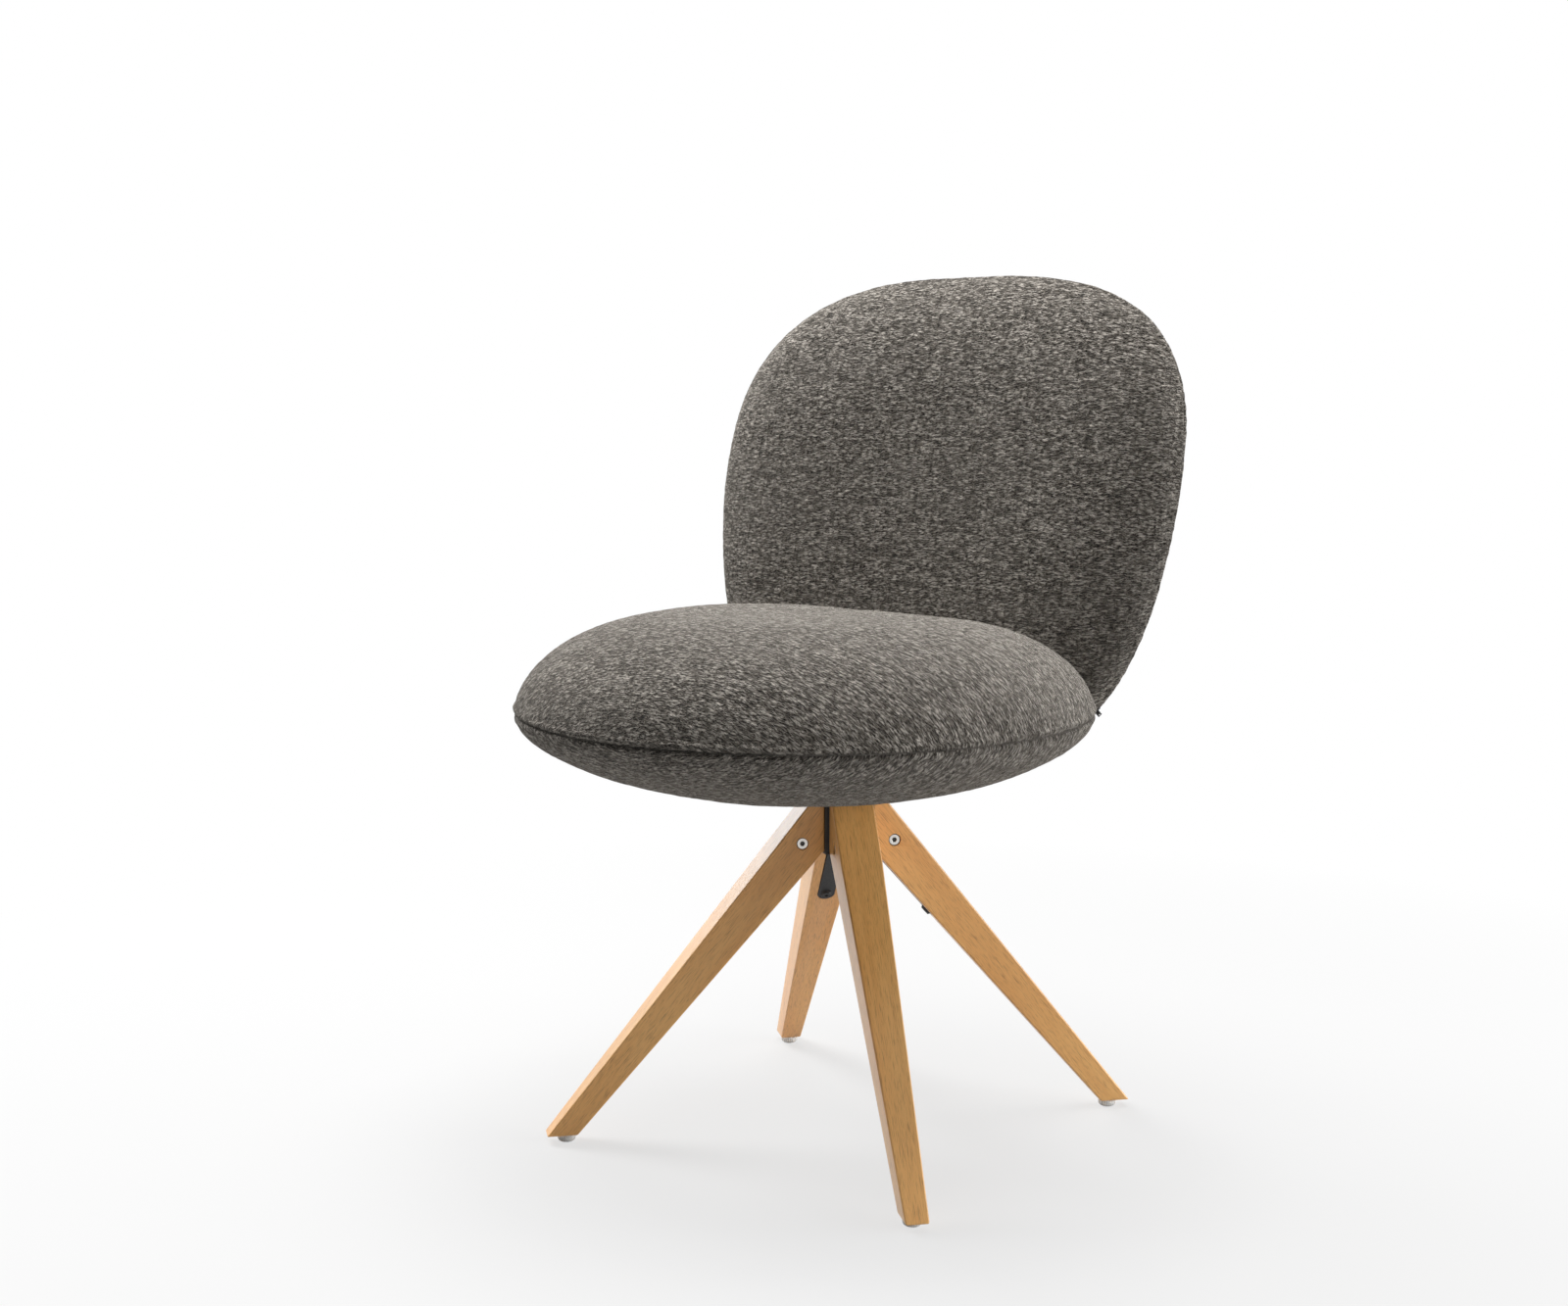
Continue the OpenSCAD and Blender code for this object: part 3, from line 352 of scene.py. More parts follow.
def glide_body():
    """The turned bowl of a glide, open in its middle round the nail."""
    bowl = [(GLIDE_BORE, 0.0)]
    bowl += [bowl_curve(90 * i / 8) for i in range(9)]
    bowl += [(GLIDE_BOWL, GLIDE_HEIGHT - 0.5 * MM), (GLIDE_BOWL - 0.5 * MM, GLIDE_HEIGHT),
             (GLIDE_BORE, GLIDE_HEIGHT)]
    return mesh_of("glide_body", turned(bowl, 72))


def glide_rib():
    """One rib, a small half-round bead that follows the bowl from its foot to its rim."""
    rib = bmesh.new()
    section = ((-0.6, -1), (0.35, -0.75), (0.7, 0), (0.35, 0.75), (-0.6, 1))
    rows = [bowl_curve(18 + 72 * i / 6) for i in range(7)]
    rows.append((GLIDE_BOWL, GLIDE_HEIGHT - 0.6 * MM))
    rings = []
    for i, (r, z) in enumerate(rows):
        size = RIB_SIZE * min(1, 0.45 + 0.2 * i)
        rings.append([rib.verts.new((r + out * size, side * size * 1.3, z))
                      for out, side in section])
    for low, high in zip(rings, rings[1:]):
        for j in range(5):
            k = (j + 1) % 5
            rib.faces.new((low[j], low[k], high[k], high[j]))
    rib.faces.new(rings[0])
    rib.faces.new(list(reversed(rings[-1])))
    bmesh.ops.recalc_face_normals(rib, faces=rib.faces)
    return mesh_of("glide_rib", rib)


glide_white = plastic_finish("glide_white", srgb(250, 250, 248), 0.32)
feet = bpy.data.meshes.new("feet")
feet.from_pydata([(GLIDE_CIRCLE * math.cos(math.radians(angle - 90)),
                   AXIS_Y + GLIDE_CIRCLE * math.sin(math.radians(angle - 90)), 0)
                  for angle in LEG_ANGLES.values()], [], [])
body_shape = helper_object("glide_body", glide_body())
rib_shape = helper_object("glide_rib", glide_rib())
glides = grown_mesh("glides", feet, glide_tree(), {
    "Body": body_shape, "Rib": rib_shape, "Ribs": GLIDE_RIBS, "Finish": glide_white})
bpy.data.objects.remove(body_shape)
bpy.data.objects.remove(rib_shape)
new_piece("ribbed_glides", glides, "base", "glide_plastic", glide_white, "foot_glides")

# Turned steel of the swivel: the nails, housing, races, balls, spindle, washers and screws keep
# their CAD solids, with bright ring marks from the lathe.


def keep_solids(finish, *names):
    """Gives CAD solids that stay a finish and a fine bevel."""
    for name in names:
        solid = nodes[name]
        solid.data.materials.clear()
        solid.data.materials.append(finish)
        joined = solid.modifiers.new("join", "WELD")
        joined.merge_threshold = 0.002 * MM
        edge = solid.modifiers.new("edge", "BEVEL")
        edge.width = 0.25 * MM
        edge.segments = 2
        edge.limit_method = "ANGLE"
        edge.angle_limit = math.radians(40)


def metal_finish(name, colour, roughness, rings):
    """Bare metal with fine ring marks across the upright axis and faint stains."""
    metal, tree, shader = new_finish(name, Metallic=1.0)
    place = put(tree, "TexCoord").outputs["Object"]
    marks = noise_on(tree, place, rings, (0.25, 0.25, 1), 3, 0.6)
    stains = noise_on(tree, place, 60, detail=3)
    darker = [value * 0.7 for value in colour[:3]] + [1.0]
    tree.links.new(mixed(tree, spread(tree, stains, 0.35, 0.7), colour, darker),
                   shader.inputs["Base Color"])
    tree.links.new(spread(tree, marks, 0.3, 0.7, roughness * 0.8, roughness * 1.25),
                   shader.inputs["Roughness"])
    raise_surface(tree, shader, marks, 0.02 * MM, 0.5)
    return metal


steel = metal_finish("turned_steel", (0.58, 0.59, 0.61, 1), 0.34, 1500)
keep_solids(steel, "glide_pins", "bearing_housing", "thrust_race_lower", "thrust_race_upper",
            "thrust_balls", "spindle", "spindle_washer", "circlip", "seat_bolt_washers",
            "tee_nuts", "bracket_screws_seat", "bracket_screws_back")
brass = metal_finish("cage_brass", (0.7, 0.52, 0.24, 1), 0.3, 900)
keep_solids(brass, "thrust_cage")
bush_white = plastic_finish("bush_white", srgb(226, 224, 212), 0.5)
keep_solids(bush_white, "lower_bush", "upper_bush")

# Hub: a square steel tube with four blades let into the legs and a top plate, under a star-shaped
# brace. All are welded or screwed sheet steel, powder coated matt black.


def powder_finish():
    """Matt black powder coat: a fine orange peel and a little dust."""
    powder, tree, shader = new_finish("black_powder_coat", Specular_IOR_Level=0.45)
    place = put(tree, "TexCoord").outputs["Object"]
    orange_peel = noise_on(tree, place, 900, detail=2)
    dust = noise_on(tree, place, 45, detail=4, roughness=0.65)
    tone = colour_steps(tree, dust, [(0.35, srgb(26, 26, 27)), (0.75, srgb(44, 43, 43))])
    tree.links.new(tone, shader.inputs["Base Color"])
    tree.links.new(spread(tree, orange_peel, 0.3, 0.7, 0.42, 0.62), shader.inputs["Roughness"])
    raise_surface(tree, shader, orange_peel, 0.06 * MM, 0.6)
    return powder


black = powder_finish()
keep_solids(black, "hub_tube", "hub_fins", "hub_top_plate", "seat_plate", "seat_bolts",
            "back_brackets")
brace = merged_solid("leg_brace")
soften_edges(brace, 0.5 * MM, 2.5 * MM, 2)
flatten_faces(new_piece("star_brace", brace, "base", "black_steel", black, "leg_brace"))
screws = merged_solid("brace_screws")
soften_edges(screws, 0.35 * MM, 0.9 * MM, 2)
flatten_faces(new_piece("brace_countersunk_screws", screws, "base", "black_steel", black,
                        "brace_screws"))

# Cross bolts: one through each leg and its blade, with a flat disc head and hexagon socket in a
# counterbore, and a sleeve nut almost flush on the other side. Satin nickel, with painted shade
# below the face of the head.


def painted_shade_below_face(metal):
    """Paints shade on a metal by the attribute sunk, 0 on the face and 1 below it."""
    tree = metal.node_tree
    shader = tree.nodes["Principled BSDF"]
    sunk = put(tree, "Attribute", attribute_name="sunk").outputs["Fac"]
    bright = shader.inputs["Base Color"].links[0].from_socket
    # Painted shade: below the face of the head the nickel turns near-black, in the gap round it and
    # in the socket.
    tree.links.new(mixed(tree, spread(tree, sunk, 0, 1, 0, 0.93), bright, srgb(26, 24, 22)),
                   shader.inputs["Base Color"])
    return metal


nickel = painted_shade_below_face(metal_finish("satin_nickel", (0.74, 0.72, 0.68, 1), 0.26, 2600))
for node, piece in (("leg_bolts", "cross_bolts"), ("leg_sleeve_nuts", "sleeve_nuts")):
    fixing = merged_solid(node)
    soften_edges(fixing, 0.3 * MM, 0.8 * MM, 2)
    fixing = new_piece(piece, fixing, "base", "nickel", nickel, node)
    flatten_faces(fixing)
    points = mesh_points(fixing.data) - [0, AXIS_Y, 0]
    quarter = np.floor(np.arctan2(points[:, 1], points[:, 0]) / (math.pi / 2))
    turn = (quarter + 0.5) * math.pi / 2
    aside = points[:, 1] * np.cos(turn) - points[:, 0] * np.sin(turn)
    sunk = np.zeros(len(points))
    for q in set(quarter):
        mine = quarter == q
        head = aside[mine] * np.sign(aside[mine].mean())
        sunk[mine] = np.clip((head.max() - head - 0.35 * MM) / (0.8 * MM), 0, 1)
    # sunk marks where the nickel takes its painted shade.
    lay_attribute(fixing.data, "sunk", sunk)

# Seat block, seat board and back shell: birch plywood, its plies showing on the cut edges. The
# block is bolted to the seat plate, the board lies on it, and the shell stiffens the back.
PLY_PAIR = 3.0 * MM


def plywood_finish():
    """Birch plywood: pale and dark plies in turn along Z, with long fibres."""
    ply, tree, shader = new_finish("birch_plywood", Roughness=0.62)
    place = put(tree, "TexCoord").outputs["Object"]
    height = put(tree, "SeparateXYZ", {"Vector": place}).outputs["Z"]
    layer = put(tree, "Math", {0: height, 1: 2 * math.pi / PLY_PAIR}, operation="MULTIPLY")
    wave = put(tree, "Math", {0: layer.outputs[0]}, operation="SINE").outputs[0]
    fibres = noise_on(tree, place, 1, (14, 260, 260), 4, 0.6)
    tone = mixed(tree, spread(tree, wave, -0.3, 0.3), srgb(214, 184, 138), srgb(170, 132, 88))
    tone = mixed(tree, spread(tree, fibres, 0.4, 0.7, 0, 0.35), tone, srgb(150, 110, 70))
    tree.links.new(tone, shader.inputs["Base Color"])
    raise_surface(tree, shader, fibres, 0.15 * MM, 0.4)
    return ply


keep_solids(plywood_finish(), "seat_block", "seat_board", "back_shell")

# Seat cushion: one round foam pebble in a boucle cover of two panels, a domed crown and a bowl,
# sewn together in a drawn-in seam. Its rear leans against the back, and its underside is open
# round the seat plate. Sizes in millimetres.
SEAT_RADIUS = 267
SEAT_CENTRE_Y = AXIS_Y / MM - 70
SEAM_Z = 418
UNDER_Z = 339
CROWN_RISE = 91
CROWN_SHOULDER = 3.3
CROWN_FULLNESS = 1.76
DISH = 9
DISH_SHARE = 0.5
BOWL_DROP = 81
BOWL_SHOULDER = 1.3
BOWL_SHIFT = 12
BOWL_THREAD = 500
PLATE_RADIUS = 68
TURN_UP = 12
# A shallow dent where one sits
DENT = 8
DENT_AT = (25, 85)
DENT_SIZE = (125, 75)
# Rear face, in front of the back
REAR_Y = AXIS_Y / MM + 118.06
REAR_Z = SEAM_Z + 10
REAR_LEAN = math.radians(6.6)
REAR_CURVE = 2114
REAR_ROUNDING = 16
# Mesh, and the cover beside the seam
GRID = 220
SEAM_ROWS = 9
SEAM_STEP = 1.0
GROOVE = 1.7
GROOVE_WIDTH = 1.4
GROOVE_SHADE = 0.28
RIDGE = 1.5
RIDGE_AT = 4.2
RIDGE_WIDTH = 2.2
# Bulge of the stuffed cover: how far the cloth swells from its inset start
COVER_INSET = 7
CLOTH_STEPS = 20
SLACKEST = -22
FULLEST = 5


def fabric_finish():
    """Short-pile boucle: crinkled yarn ridges drawn along X, coloured by their height, with painted
    shade in the dark gaps and painted highlight on the pale tops.
    """
    fabric, tree, shader = new_finish("grey_brown_boucle", Roughness=0.95, Specular_IOR_Level=0.15,
                                      Sheen_Weight=0.4, Sheen_Roughness=0.35)
    shader.inputs["Sheen Tint"].default_value = srgb(236, 230, 220)
    thread = put(tree, "Attribute", attribute_name="thread").outputs["Vector"]
    groove = put(tree, "Attribute", attribute_name="groove").outputs["Fac"]
    wander = put(tree, "TexNoise", {"Vector": thread, "Scale": 150.0, "Detail": 1.0})
    pulled = put(tree, "VectorMath", {0: wander.outputs["Color"], 1: (0.5, 0.5, 0.5)},
                 operation="SUBTRACT")
    small = put(tree, "VectorMath", {0: pulled.outputs[0], "Scale": 0.0016}, operation="SCALE")
    bent = put(tree, "VectorMath", {0: thread, 1: small.outputs[0]}, operation="ADD").outputs[0]

    def yarn(stretch, width):
        """Winding ridges along the lines where a noise crosses its middle."""
        level = noise_on(tree, bent, 1, stretch, 1.5, 0.5)
        middle = put(tree, "Math", {0: level, 1: 0.5}, operation="SUBTRACT").outputs[0]
        away = put(tree, "Math", {0: middle}, operation="ABSOLUTE").outputs[0]
        return spread(tree, away, width, 0.0)

    loops = put(tree, "TexVoronoi", {
        "Vector": put(tree, "Mapping", {"Vector": bent, "Scale": (150, 450, 150)}).outputs[0],
        "Scale": 1.0, "Randomness": 1.0}, feature="F1")
    loop = spread(tree, loops.outputs["Distance"], 0.75, 0.05)
    own = put(tree, "SeparateColor", {"Color": loops.outputs["Color"]}).outputs["Red"]
    height = yarn((240, 740, 240), 0.2)
    height = put(tree, "Math", {0: yarn((130, 430, 130), 0.16), 1: 0.8, 2: height},
                 operation="MULTIPLY_ADD").outputs[0]
    height = put(tree, "Math", {0: loop, 1: 1.1, 2: height}, operation="MULTIPLY_ADD").outputs[0]
    # Colour by height: the near-black low end in the gaps between the yarns is painted shade, and
    # the pale high end on their tops is painted highlight, over the yarn's own grey-brown.
    tone = colour_steps(tree, spread(tree, height, 0.4, 2.3), [
        (0.0, srgb(7, 5, 3)), (0.25, srgb(40, 35, 29)),
        (0.55, srgb(112, 105, 96)), (1.0, srgb(222, 214, 204))])
    tone = mixed(tree, spread(tree, own, 0.4, 1.0, 0, 0.45), tone, srgb(46, 40, 33))
    patches = noise_on(tree, thread, 1, (6, 22, 6), 4, 0.6)
    tone = mixed(tree, spread(tree, patches, 0.42, 0.72, 0, 0.22), tone, srgb(140, 134, 126))
    # Painted shade along the seam, darkest in its drawn-in groove.
    tone = mixed(tree, groove, tone, srgb(26, 23, 20))
    tree.links.new(tone, shader.inputs["Base Color"])
    raise_surface(tree, shader, height, 2.3 * MM, 1.0)
    return fabric


def disc_grid(cells):
    """Points of a square grid laid on a disc, as ring and place round it, and its faces.

    Ring 0 is the middle and ring cells / 2 the rim. The place runs from 0 to 1 round the disc."""
    half = cells // 2
    index = np.arange(cells + 1) - half
    a, b = np.meshgrid(index, index, indexing="ij")
    a = a.ravel()
    b = b.ravel()
    ring = np.maximum(abs(a), abs(b))
    wide = abs(a) >= abs(b)
    with np.errstate(divide="ignore", invalid="ignore"):
        angle = np.where(wide, math.pi / 4 * b / a, math.pi / 2 - math.pi / 4 * a / b)
    angle = np.where(wide & (a < 0), angle + math.pi, angle)
    angle = np.where(~wide & (b < 0), angle + math.pi, angle)
    angle = np.where(ring == 0, 0, angle)
    i, j = np.meshgrid(np.arange(cells), np.arange(cells), indexing="ij")
    corner = (i * (cells + 1) + j).ravel()
    faces = np.stack([corner, corner + cells + 1, corner + cells + 2, corner + 1], 1)
    return ring, np.mod(angle / (2 * math.pi), 1), faces


def ring_arcs(length, rings):
    """Distance of each ring from the middle: even, then fine rows beside the seam."""
    band = SEAM_ROWS * SEAM_STEP
    even = np.linspace(0, length - band, rings - SEAM_ROWS + 1)
    return np.concatenate([even, length - band + SEAM_STEP * np.arange(1, SEAM_ROWS + 1)])


def arc_table(line):
    """Distance along a line of points."""
    return np.concatenate([[0], np.cumsum(np.hypot(*np.diff(line, axis=0).T))])


def smooth_least(first, second, width):
    """The lesser of two values, rounded over a width where they meet."""
    h = np.clip(0.5 + 0.5 * (second - first) / width, 0, 1)
    return second + (first - second) * h - width * h * (1 - h)


def smooth_step(value, low, high):
    """Rises smoothly from 0 at the low value to 1 at the high one."""
    t = np.clip((value - low) / (high - low), 0, 1)
    return t * t * (3 - 2 * t)


def seam_shape(distance, upper):
    """How far the cover lies out (+) or in (-) beside the seam, at a distance from it."""
    drawn = -GROOVE * np.exp(-(distance / GROOVE_WIDTH) ** 2)
    ridge = RIDGE * np.exp(-((distance - RIDGE_AT) / RIDGE_WIDTH) ** 2)
    return drawn + ridge * (1.0 if upper else 0.5)


def pebble_mesh(name, upper_form, lower_form, upper_line, lower_line):
    """A closed cushion of two panels on disc grids that share their rim, the seam.

    A form gives points for a share of its line and a place round the cushion, and the thread
    coordinates in millimetres. A line is the section from the middle to the seam. Beside the mesh,
    this gives each point's distance from the seam and whether it is on the upper panel."""
    ring, place, faces = disc_grid(GRID)
    rim = ring == GRID // 2
    points = []
    threads = []
    seams = []
    for form, line in ((upper_form, upper_line), (lower_form, lower_line)):
        lengths = arc_table(line)
        arcs = ring_arcs(lengths[-1], GRID // 2)[ring]
        where = np.interp(arcs, lengths, np.arange(len(line))) / (len(line) - 1)
        position, thread = form(where, place, arcs)
        points.append(position)
        threads.append(thread)
        seams.append(lengths[-1] - arcs)
    count = len(ring)
    lower_index = np.arange(count) + count
    lower_index[rim] = np.arange(count)[rim]
    keep = np.concatenate([np.ones(count, bool), ~rim])
    renumber = np.cumsum(keep) - 1
    all_faces = np.concatenate([faces, lower_index[faces][:, ::-1]])
    from_seam = np.concatenate(seams)[keep]
    on_upper = np.concatenate([np.ones(count, bool), np.zeros(count, bool)])[keep]
    mesh = bpy.data.meshes.new(name)
    mesh.from_pydata(np.concatenate(points)[keep] * MM, [], renumber[all_faces].tolist())
    lay_attribute(mesh, "thread", np.concatenate(threads)[keep] * MM)
    # The seam's painted shade, read by the cover's material.
    lay_attribute(mesh, "groove", np.exp(-from_seam ** 2) * GROOVE_SHADE)
    mesh.update()
    solid = bmesh.new()
    solid.from_mesh(mesh)
    bmesh.ops.recalc_face_normals(solid, faces=solid.faces)
    solid.to_mesh(mesh)
    solid.free()
    return mesh, from_seam, on_upper


def mesh_normals(mesh):
    """The way that the surface faces at each of a mesh's points, as an array."""
    flat = np.zeros(len(mesh.vertices) * 3, np.float32)
    mesh.vertex_normals.foreach_get("vector", flat)
    return flat.reshape(-1, 3).astype(float)


def blown_up(name, mesh):
    """The cover's own bulge: a slightly smaller closed copy swells under pressure as cloth.

    How far the cloth swells at each point gives the share of the fullest bulge, in millimetres."""
    start = mesh.copy()
    points = mesh_points(start)
    normals = mesh_normals(start)
    inner = points - normals * COVER_INSET * MM
    start.vertices.foreach_set("co", inner.astype(np.float32).ravel())
    start.update()
    bag = helper_object(name + "_bag", start)
    remesh = bag.modifiers.new("even", "REMESH")
    remesh.mode = "VOXEL"
    remesh.voxel_size = 6 * MM
    bpy.context.view_layer.objects.active = bag
    graph = bpy.context.evaluated_depsgraph_get()
    even = bpy.data.meshes.new_from_object(bag.evaluated_get(graph))
    bag.modifiers.remove(remesh)
    bag.data = even
    cloth = bag.modifiers.new("swell", "CLOTH")
    cloth.settings.quality = 5
    cloth.settings.mass = 0.4
    cloth.settings.use_pressure = True
    cloth.settings.uniform_pressure_force = 4.0
    cloth.settings.effector_weights.gravity = 0
    cloth.point_cache.frame_start = 1
    cloth.point_cache.frame_end = CLOTH_STEPS
    scene = bpy.context.scene
    for step in range(1, CLOTH_STEPS + 1):
        scene.frame_set(step)
    graph = bpy.context.evaluated_depsgraph_get()
    swollen = bpy.data.meshes.new_from_object(bag.evaluated_get(graph))
    after = mesh_points(swollen)
    scene.frame_set(1)
    bag.modifiers.remove(cloth)
    tree = BVHTree.FromPolygons([tuple(p) for p in after],
                                [tuple(f.vertices) for f in swollen.polygons])
    nearest = np.array([tree.find_nearest(Vector(p))[0] for p in points])
    stand_off = ((nearest - points) * normals).sum(1)
    bpy.data.objects.remove(bag)
    return FULLEST * smooth_step(stand_off, SLACKEST * MM, stand_off.max())


def pile_unevenness(thread):
    """Soft waves and small lumps of the stuffed cover at a place along its threads."""
    lumps = Vector((thread[0] * 95, thread[1] * 190, thread[2] * 95))
    return 0.8 * noise.noise(Vector(thread) * 14) + 0.5 * noise.noise(lumps)


def dress_pebble(mesh, from_seam, on_upper, swell):
    """Lays the bulge, the seam and the unevenness of the pile on a cushion's drawn form."""
    points = mesh_points(mesh)
    threads = np.zeros(len(points) * 3, np.float32)
    mesh.attributes["thread"].data.foreach_get("vector", threads)
    uneven = np.array([pile_unevenness(thread) for thread in threads.reshape(-1, 3)])
    seam = np.where(on_upper, seam_shape(from_seam, True), seam_shape(from_seam, False))
    off = swell + uneven + seam
    outer = points + mesh_normals(mesh) * off[:, None] * MM
    mesh.vertices.foreach_set("co", outer.astype(np.float32).ravel())
    mesh.update()


# Sections of the crown and the bowl, from the middle to the seam
quarter_turn = np.linspace(0, math.pi / 2, 600)
crown_share = np.sin(quarter_turn) ** (2 / CROWN_SHOULDER)
crown_z = SEAM_Z + CROWN_RISE * np.cos(quarter_turn) ** (2 / CROWN_FULLNESS)
crown_z -= DISH * np.exp(-(crown_share / DISH_SHARE) ** 2) * np.cos(quarter_turn)
crown_line = np.stack([SEAT_RADIUS * crown_share, crown_z], 1)
bowl_share = np.sin(quarter_turn) ** BOWL_SHOULDER
bowl_z = np.maximum(UNDER_Z, SEAM_Z - BOWL_DROP * np.cos(quarter_turn))
bowl_line = np.stack([SEAT_RADIUS * bowl_share, bowl_z], 1)


def rear_face_y(points):
    """Depth of the seat's rear face, an upright curve that leans back in front of the back."""
    sag = np.sqrt(REAR_CURVE ** 2 - points[:, 0] ** 2) - REAR_CURVE
    up = (points[:, 2] - REAR_Z + sag * math.sin(REAR_LEAN)) / math.cos(REAR_LEAN)
    return REAR_Y + sag * math.cos(REAR_LEAN) + up * math.sin(REAR_LEAN)


def seat_points(line, where, place, arcs, shift, dent):
    """Points and threads of a seat panel: its section turned round, then cut by the rear face."""
    steps = where * (len(line) - 1)
    radius = np.interp(steps, np.arange(len(line)), line[:, 0])
    z = np.interp(steps, np.arange(len(line)), line[:, 1])
    turn = 2 * math.pi * place
    share = radius / SEAT_RADIUS
    points = np.stack([radius * np.sin(turn),
                       SEAT_CENTRE_Y + shift * (1 - share ** 2) - radius * np.cos(turn), z], 1)
    points[:, 2] -= dent * np.exp(-((points[:, 0] - DENT_AT[0]) / DENT_SIZE[0]) ** 2
                                  - ((points[:, 1] - DENT_AT[1]) / DENT_SIZE[1]) ** 2)
    points[:, 1] = smooth_least(points[:, 1], rear_face_y(points), REAR_ROUNDING)
    thread = np.stack([arcs * np.sin(turn), -arcs * np.cos(turn), np.zeros(len(arcs))], 1)
    return points, thread


def crown_form(where, place, arcs):
    """The seat's upper panel."""
    return seat_points(crown_line, where, place, arcs, 0, DENT)


def bowl_form(where, place, arcs):
    """The seat's under panel, turned up inside round the seat plate."""
    points, thread = seat_points(bowl_line, where, place, arcs, BOWL_SHIFT, 0)
    thread[:, 2] = BOWL_THREAD
    from_axis = np.hypot(points[:, 0], points[:, 1] - AXIS_Y / MM)
    points[:, 2] += TURN_UP * (1 - smooth_step(from_axis, PLATE_RADIUS - 3, PLATE_RADIUS + 2))
    return points, thread


boucle = fabric_finish()
seat_mesh, seat_from_seam, seat_on_upper = pebble_mesh(
    "seat_cushion", crown_form, bowl_form, crown_line, bowl_line)
seat_swell = 0
seat_swell = blown_up("seat", seat_mesh)
dress_pebble(seat_mesh, seat_from_seam, seat_on_upper, seat_swell)
seat = new_piece("seat_cushion", seat_mesh, "seat", "cover", boucle, "seat_cover_top",
                 "seat_cover_bottom", "seat_foam", "seat_bottom_pad", "seat_rear_panel")

# Back cushion: a reclined foam pebble round a curved plywood shell, in two boucle panels, front and
# rear, sewn in a drawn-in seam. Sizes in millimetres.
BACK_HALF_WIDTH = 260
BACK_MID_Z = 617
BACK_UP = 207
BACK_TOP_CORNER = 2.75
BACK_DOWN = 245
BACK_LOW_CORNER = (0.8, 5.72, 1.55)
BACK_SET = 206
BACK_SAG = 28
BACK_RUN = math.tan(math.radians(13.9))
FRONT_FULL = 48
REAR_FULL = 39
HALF_SECTION = 250
REAR_THREAD = 900.0


def back_outline(count):
    """The outline of the back as points of x and height, evenly spaced round it."""
    angle = np.linspace(0, 2 * math.pi, 4001)
    spacing, flatness, fullness = BACK_LOW_CORNER
    high_x = np.sign(np.cos(angle)) * abs(np.cos(angle)) ** (2 / BACK_TOP_CORNER)
    up = BACK_UP * abs(np.sin(angle)) ** (2 / BACK_TOP_CORNER)
    low_x = np.sign(np.cos(angle)) * abs(np.cos(angle)) ** spacing
    down = -BACK_DOWN * np.clip(1 - abs(low_x) ** flatness, 0, 1) ** (1 / fullness)
    above = np.sin(angle) >= 0
    line = np.stack([BACK_HALF_WIDTH * np.where(above, high_x, low_x),
                     np.where(above, up, down)], 1)
    lengths = arc_table(line)
    even = np.linspace(0, lengths[-1], count + 1)
    return np.stack([np.interp(even, lengths, line[:, 0]),
                     np.interp(even, lengths, line[:, 1])], 1)


outline = back_outline(2000)
pad_share = np.sqrt(np.sin(quarter_turn))
pad_rise = np.sqrt(np.clip(1 - pad_share ** 4, 0, 1))
front_line = np.stack([HALF_SECTION * pad_share, FRONT_FULL * pad_rise], 1)
rear_line = np.stack([HALF_SECTION * pad_share, REAR_FULL * pad_rise], 1)


def back_points(line, where, place, arcs, side):
    """Points and threads of a back panel, in front (-1) of the leaning curved plane or behind."""
    steps = where * (len(line) - 1)
    share = np.interp(steps, np.arange(len(line)), line[:, 0]) / HALF_SECTION
    full = np.interp(steps, np.arange(len(line)), line[:, 1])
    spot = place * (len(outline) - 1)
    edge_x = np.interp(spot, np.arange(len(outline)), outline[:, 0])
    edge_z = np.interp(spot, np.arange(len(outline)), outline[:, 1])
    x = share * edge_x
    z = share * edge_z
    y = AXIS_Y / MM + BACK_SET + BACK_RUN * z - BACK_SAG * (x / BACK_HALF_WIDTH) ** 2 + side * full
    longer = arcs / HALF_SECTION
    thread = np.stack([edge_x * longer, edge_z * longer, np.full(len(x), side * REAR_THREAD)], 1)
    return np.stack([x, y, z + BACK_MID_Z], 1), thread


def front_form(where, place, arcs):
    """The back's front panel."""
    return back_points(front_line, where, place, arcs, -1)


def rear_form(where, place, arcs):
    """The back's rear panel."""
    return back_points(rear_line, where, place, arcs, 1)


back_mesh, back_from_seam, back_on_upper = pebble_mesh(
    "back_cushion", front_form, rear_form, front_line, rear_line)
back_swell = 0
back_swell = blown_up("back", back_mesh)
dress_pebble(back_mesh, back_from_seam, back_on_upper, back_swell)
back = new_piece("back_cushion", back_mesh, "seat", "cover", boucle, "back_cover_front",
                 "back_cover_rear", "back_foam_front", "back_foam_rear")

# Zip along the back's lower seam, with its slider and pull: black woven tape sewn to both
# panels, and a slider whose tab hangs at the end of the zip.
TAB_REACH = 13 * MM


def zip_finish():
    """Black woven tape."""
    tape, tree, shader = new_finish("zip_black", Roughness=0.55)
    place = put(tree, "TexCoord").outputs["Object"]
    weave = noise_on(tree, place, 1300, detail=2)
    tone = colour_steps(tree, weave, [(0.35, srgb(20, 20, 20)), (0.7, srgb(42, 41, 40))])
    tree.links.new(tone, shader.inputs["Base Color"])
    raise_surface(tree, shader, weave, 0.1 * MM, 0.6)
    return tape


zip_black = zip_finish()
keep_solids(zip_black, "back_zip")
pull = merged_solid("zip_pull")
soften_edges(pull, 0.35 * MM, 0.9 * MM, 2)
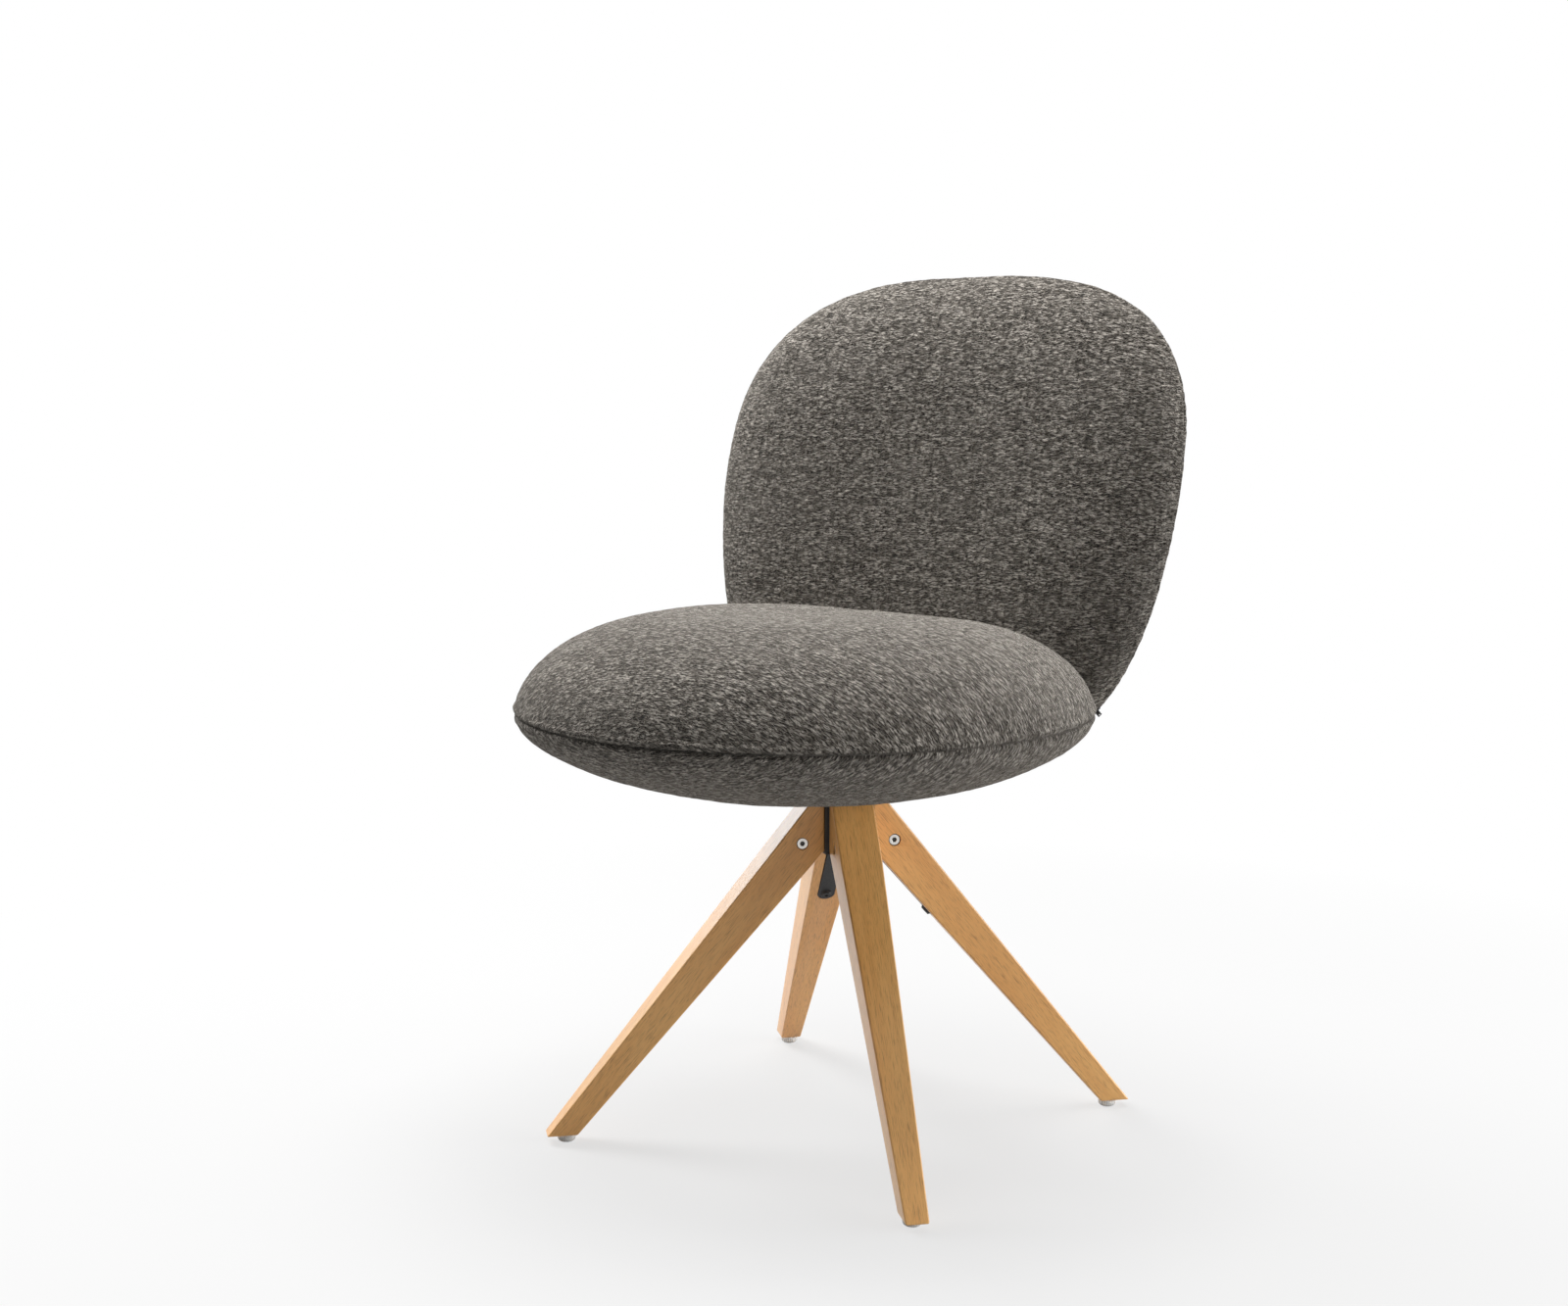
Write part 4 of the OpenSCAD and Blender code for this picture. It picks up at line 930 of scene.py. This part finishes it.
# The tab hangs outward and down, and is drawn in to half its length
hang = Vector((1, 0, -1)).normalized()
reach = [v.co.dot(hang) for v in pull.verts]
tab = max(reach) - TAB_REACH
for vertex, far in zip(pull.verts, reach):
    vertex.co -= hang * max(far - tab, 0) * 0.5
new_piece("zip_slider", pull, "seat", "zip_black", zip_black, "zip_pull")

# Room: a pale floor that fades into white, soft boxes above, behind and at the sides, and the
# camera a little above the seat, in front of the chair and to its left. Sizes in metres.
FLOOR_SIZE = 12.0
LAMP_AIM = (0, 0, 0.4)


def floor_finish():
    """Pale floor that keeps its shadow near the chair and is white to the camera further out."""
    pale, tree, shader = new_finish("pale_floor", Roughness=0.9, Specular_IOR_Level=0.1)
    tree.nodes.remove(shader)
    place = put(tree, "TexCoord").outputs["Object"]
    away = put(tree, "VectorMath", {0: place}, operation="LENGTH").outputs["Value"]
    shaded = put(tree, "BsdfDiffuse", {"Color": (0.48, 0.48, 0.48, 1)}).outputs[0]
    white = put(tree, "Emission", {"Color": (1, 1, 1, 1), "Strength": 1.0}).outputs[0]
    fade = spread(tree, away, 0.35, 1.4, 0.68, 1.0)
    seen = put(tree, "LightPath").outputs
    either = put(tree, "Math", {0: seen["Is Camera Ray"], 1: seen["Is Glossy Ray"]},
                 operation="MAXIMUM").outputs[0]
    share = put(tree, "Math", {0: fade, 1: either}, operation="MULTIPLY").outputs[0]
    both = put(tree, "MixShader", {0: share, 1: shaded, 2: white}).outputs[0]
    tree.links.new(both, tree.nodes["Material Output"].inputs["Surface"])
    return pale


floor_mesh = bpy.data.meshes.new("floor")
half = FLOOR_SIZE / 2
floor_mesh.from_pydata([(-half, -half, 0), (half, -half, 0), (half, half, 0), (-half, half, 0)],
                       [], [(0, 1, 2, 3)])
floor_mesh.materials.append(floor_finish())
floor = bpy.data.objects.new("floor", floor_mesh)
bpy.context.scene.collection.objects.link(floor)


def light_room():
    """A world that is white to the camera and in reflections, and faint as light."""
    world = bpy.data.worlds.new("studio")
    bpy.context.scene.world = world
    world.use_nodes = True
    tree = world.node_tree
    seen = put(tree, "LightPath").outputs
    either = put(tree, "Math", {0: seen["Is Camera Ray"], 1: seen["Is Glossy Ray"]},
                 operation="MAXIMUM").outputs[0]
    either = put(tree, "Math", {0: either, 1: seen["Is Transmission Ray"]},
                 operation="MAXIMUM").outputs[0]
    strength = spread(tree, either, 0, 1, 0.03, 1.0)
    background = tree.nodes["Background"]
    background.inputs["Color"].default_value = (1, 1, 1, 1)
    tree.links.new(strength, background.inputs["Strength"])


def soft_box(name, place, size, power):
    """A square soft box, aimed below the seat."""
    lamp = bpy.data.lights.new(name, "AREA")
    lamp.shape = "SQUARE"
    lamp.size = size
    lamp.energy = power
    thing = bpy.data.objects.new(name, lamp)
    thing.location = place
    thing.rotation_euler = (Vector(LAMP_AIM) - Vector(place)).to_track_quat("-Z", "Y").to_euler()
    bpy.context.scene.collection.objects.link(thing)


light_room()
soft_box("above", (0.0, 0.25, 2.6), 1.6, 74)
soft_box("window_left", (-1.9, 0.1, 1.9), 1.2, 64)
soft_box("behind_left", (-2.4, 1.4, 1.2), 1.2, 16)
soft_box("behind_right", (2.0, 1.6, 0.7), 1.2, 24)
soft_box("right", (2.6, 0.5, 0.7), 1.2, 31)

lens = bpy.data.cameras.new("camera")
lens.lens = 50.362
lens.sensor_width = 36
lens.sensor_fit = "HORIZONTAL"
camera = bpy.data.objects.new("camera", lens)
camera.location = (1.1073, -1.7211, 0.713967)
camera.rotation_euler = [math.radians(v) for v in (83.053, 0, 33.909)]
bpy.context.scene.collection.objects.link(camera)
bpy.context.scene.camera = camera
bpy.context.scene.view_settings.view_transform = "Standard"
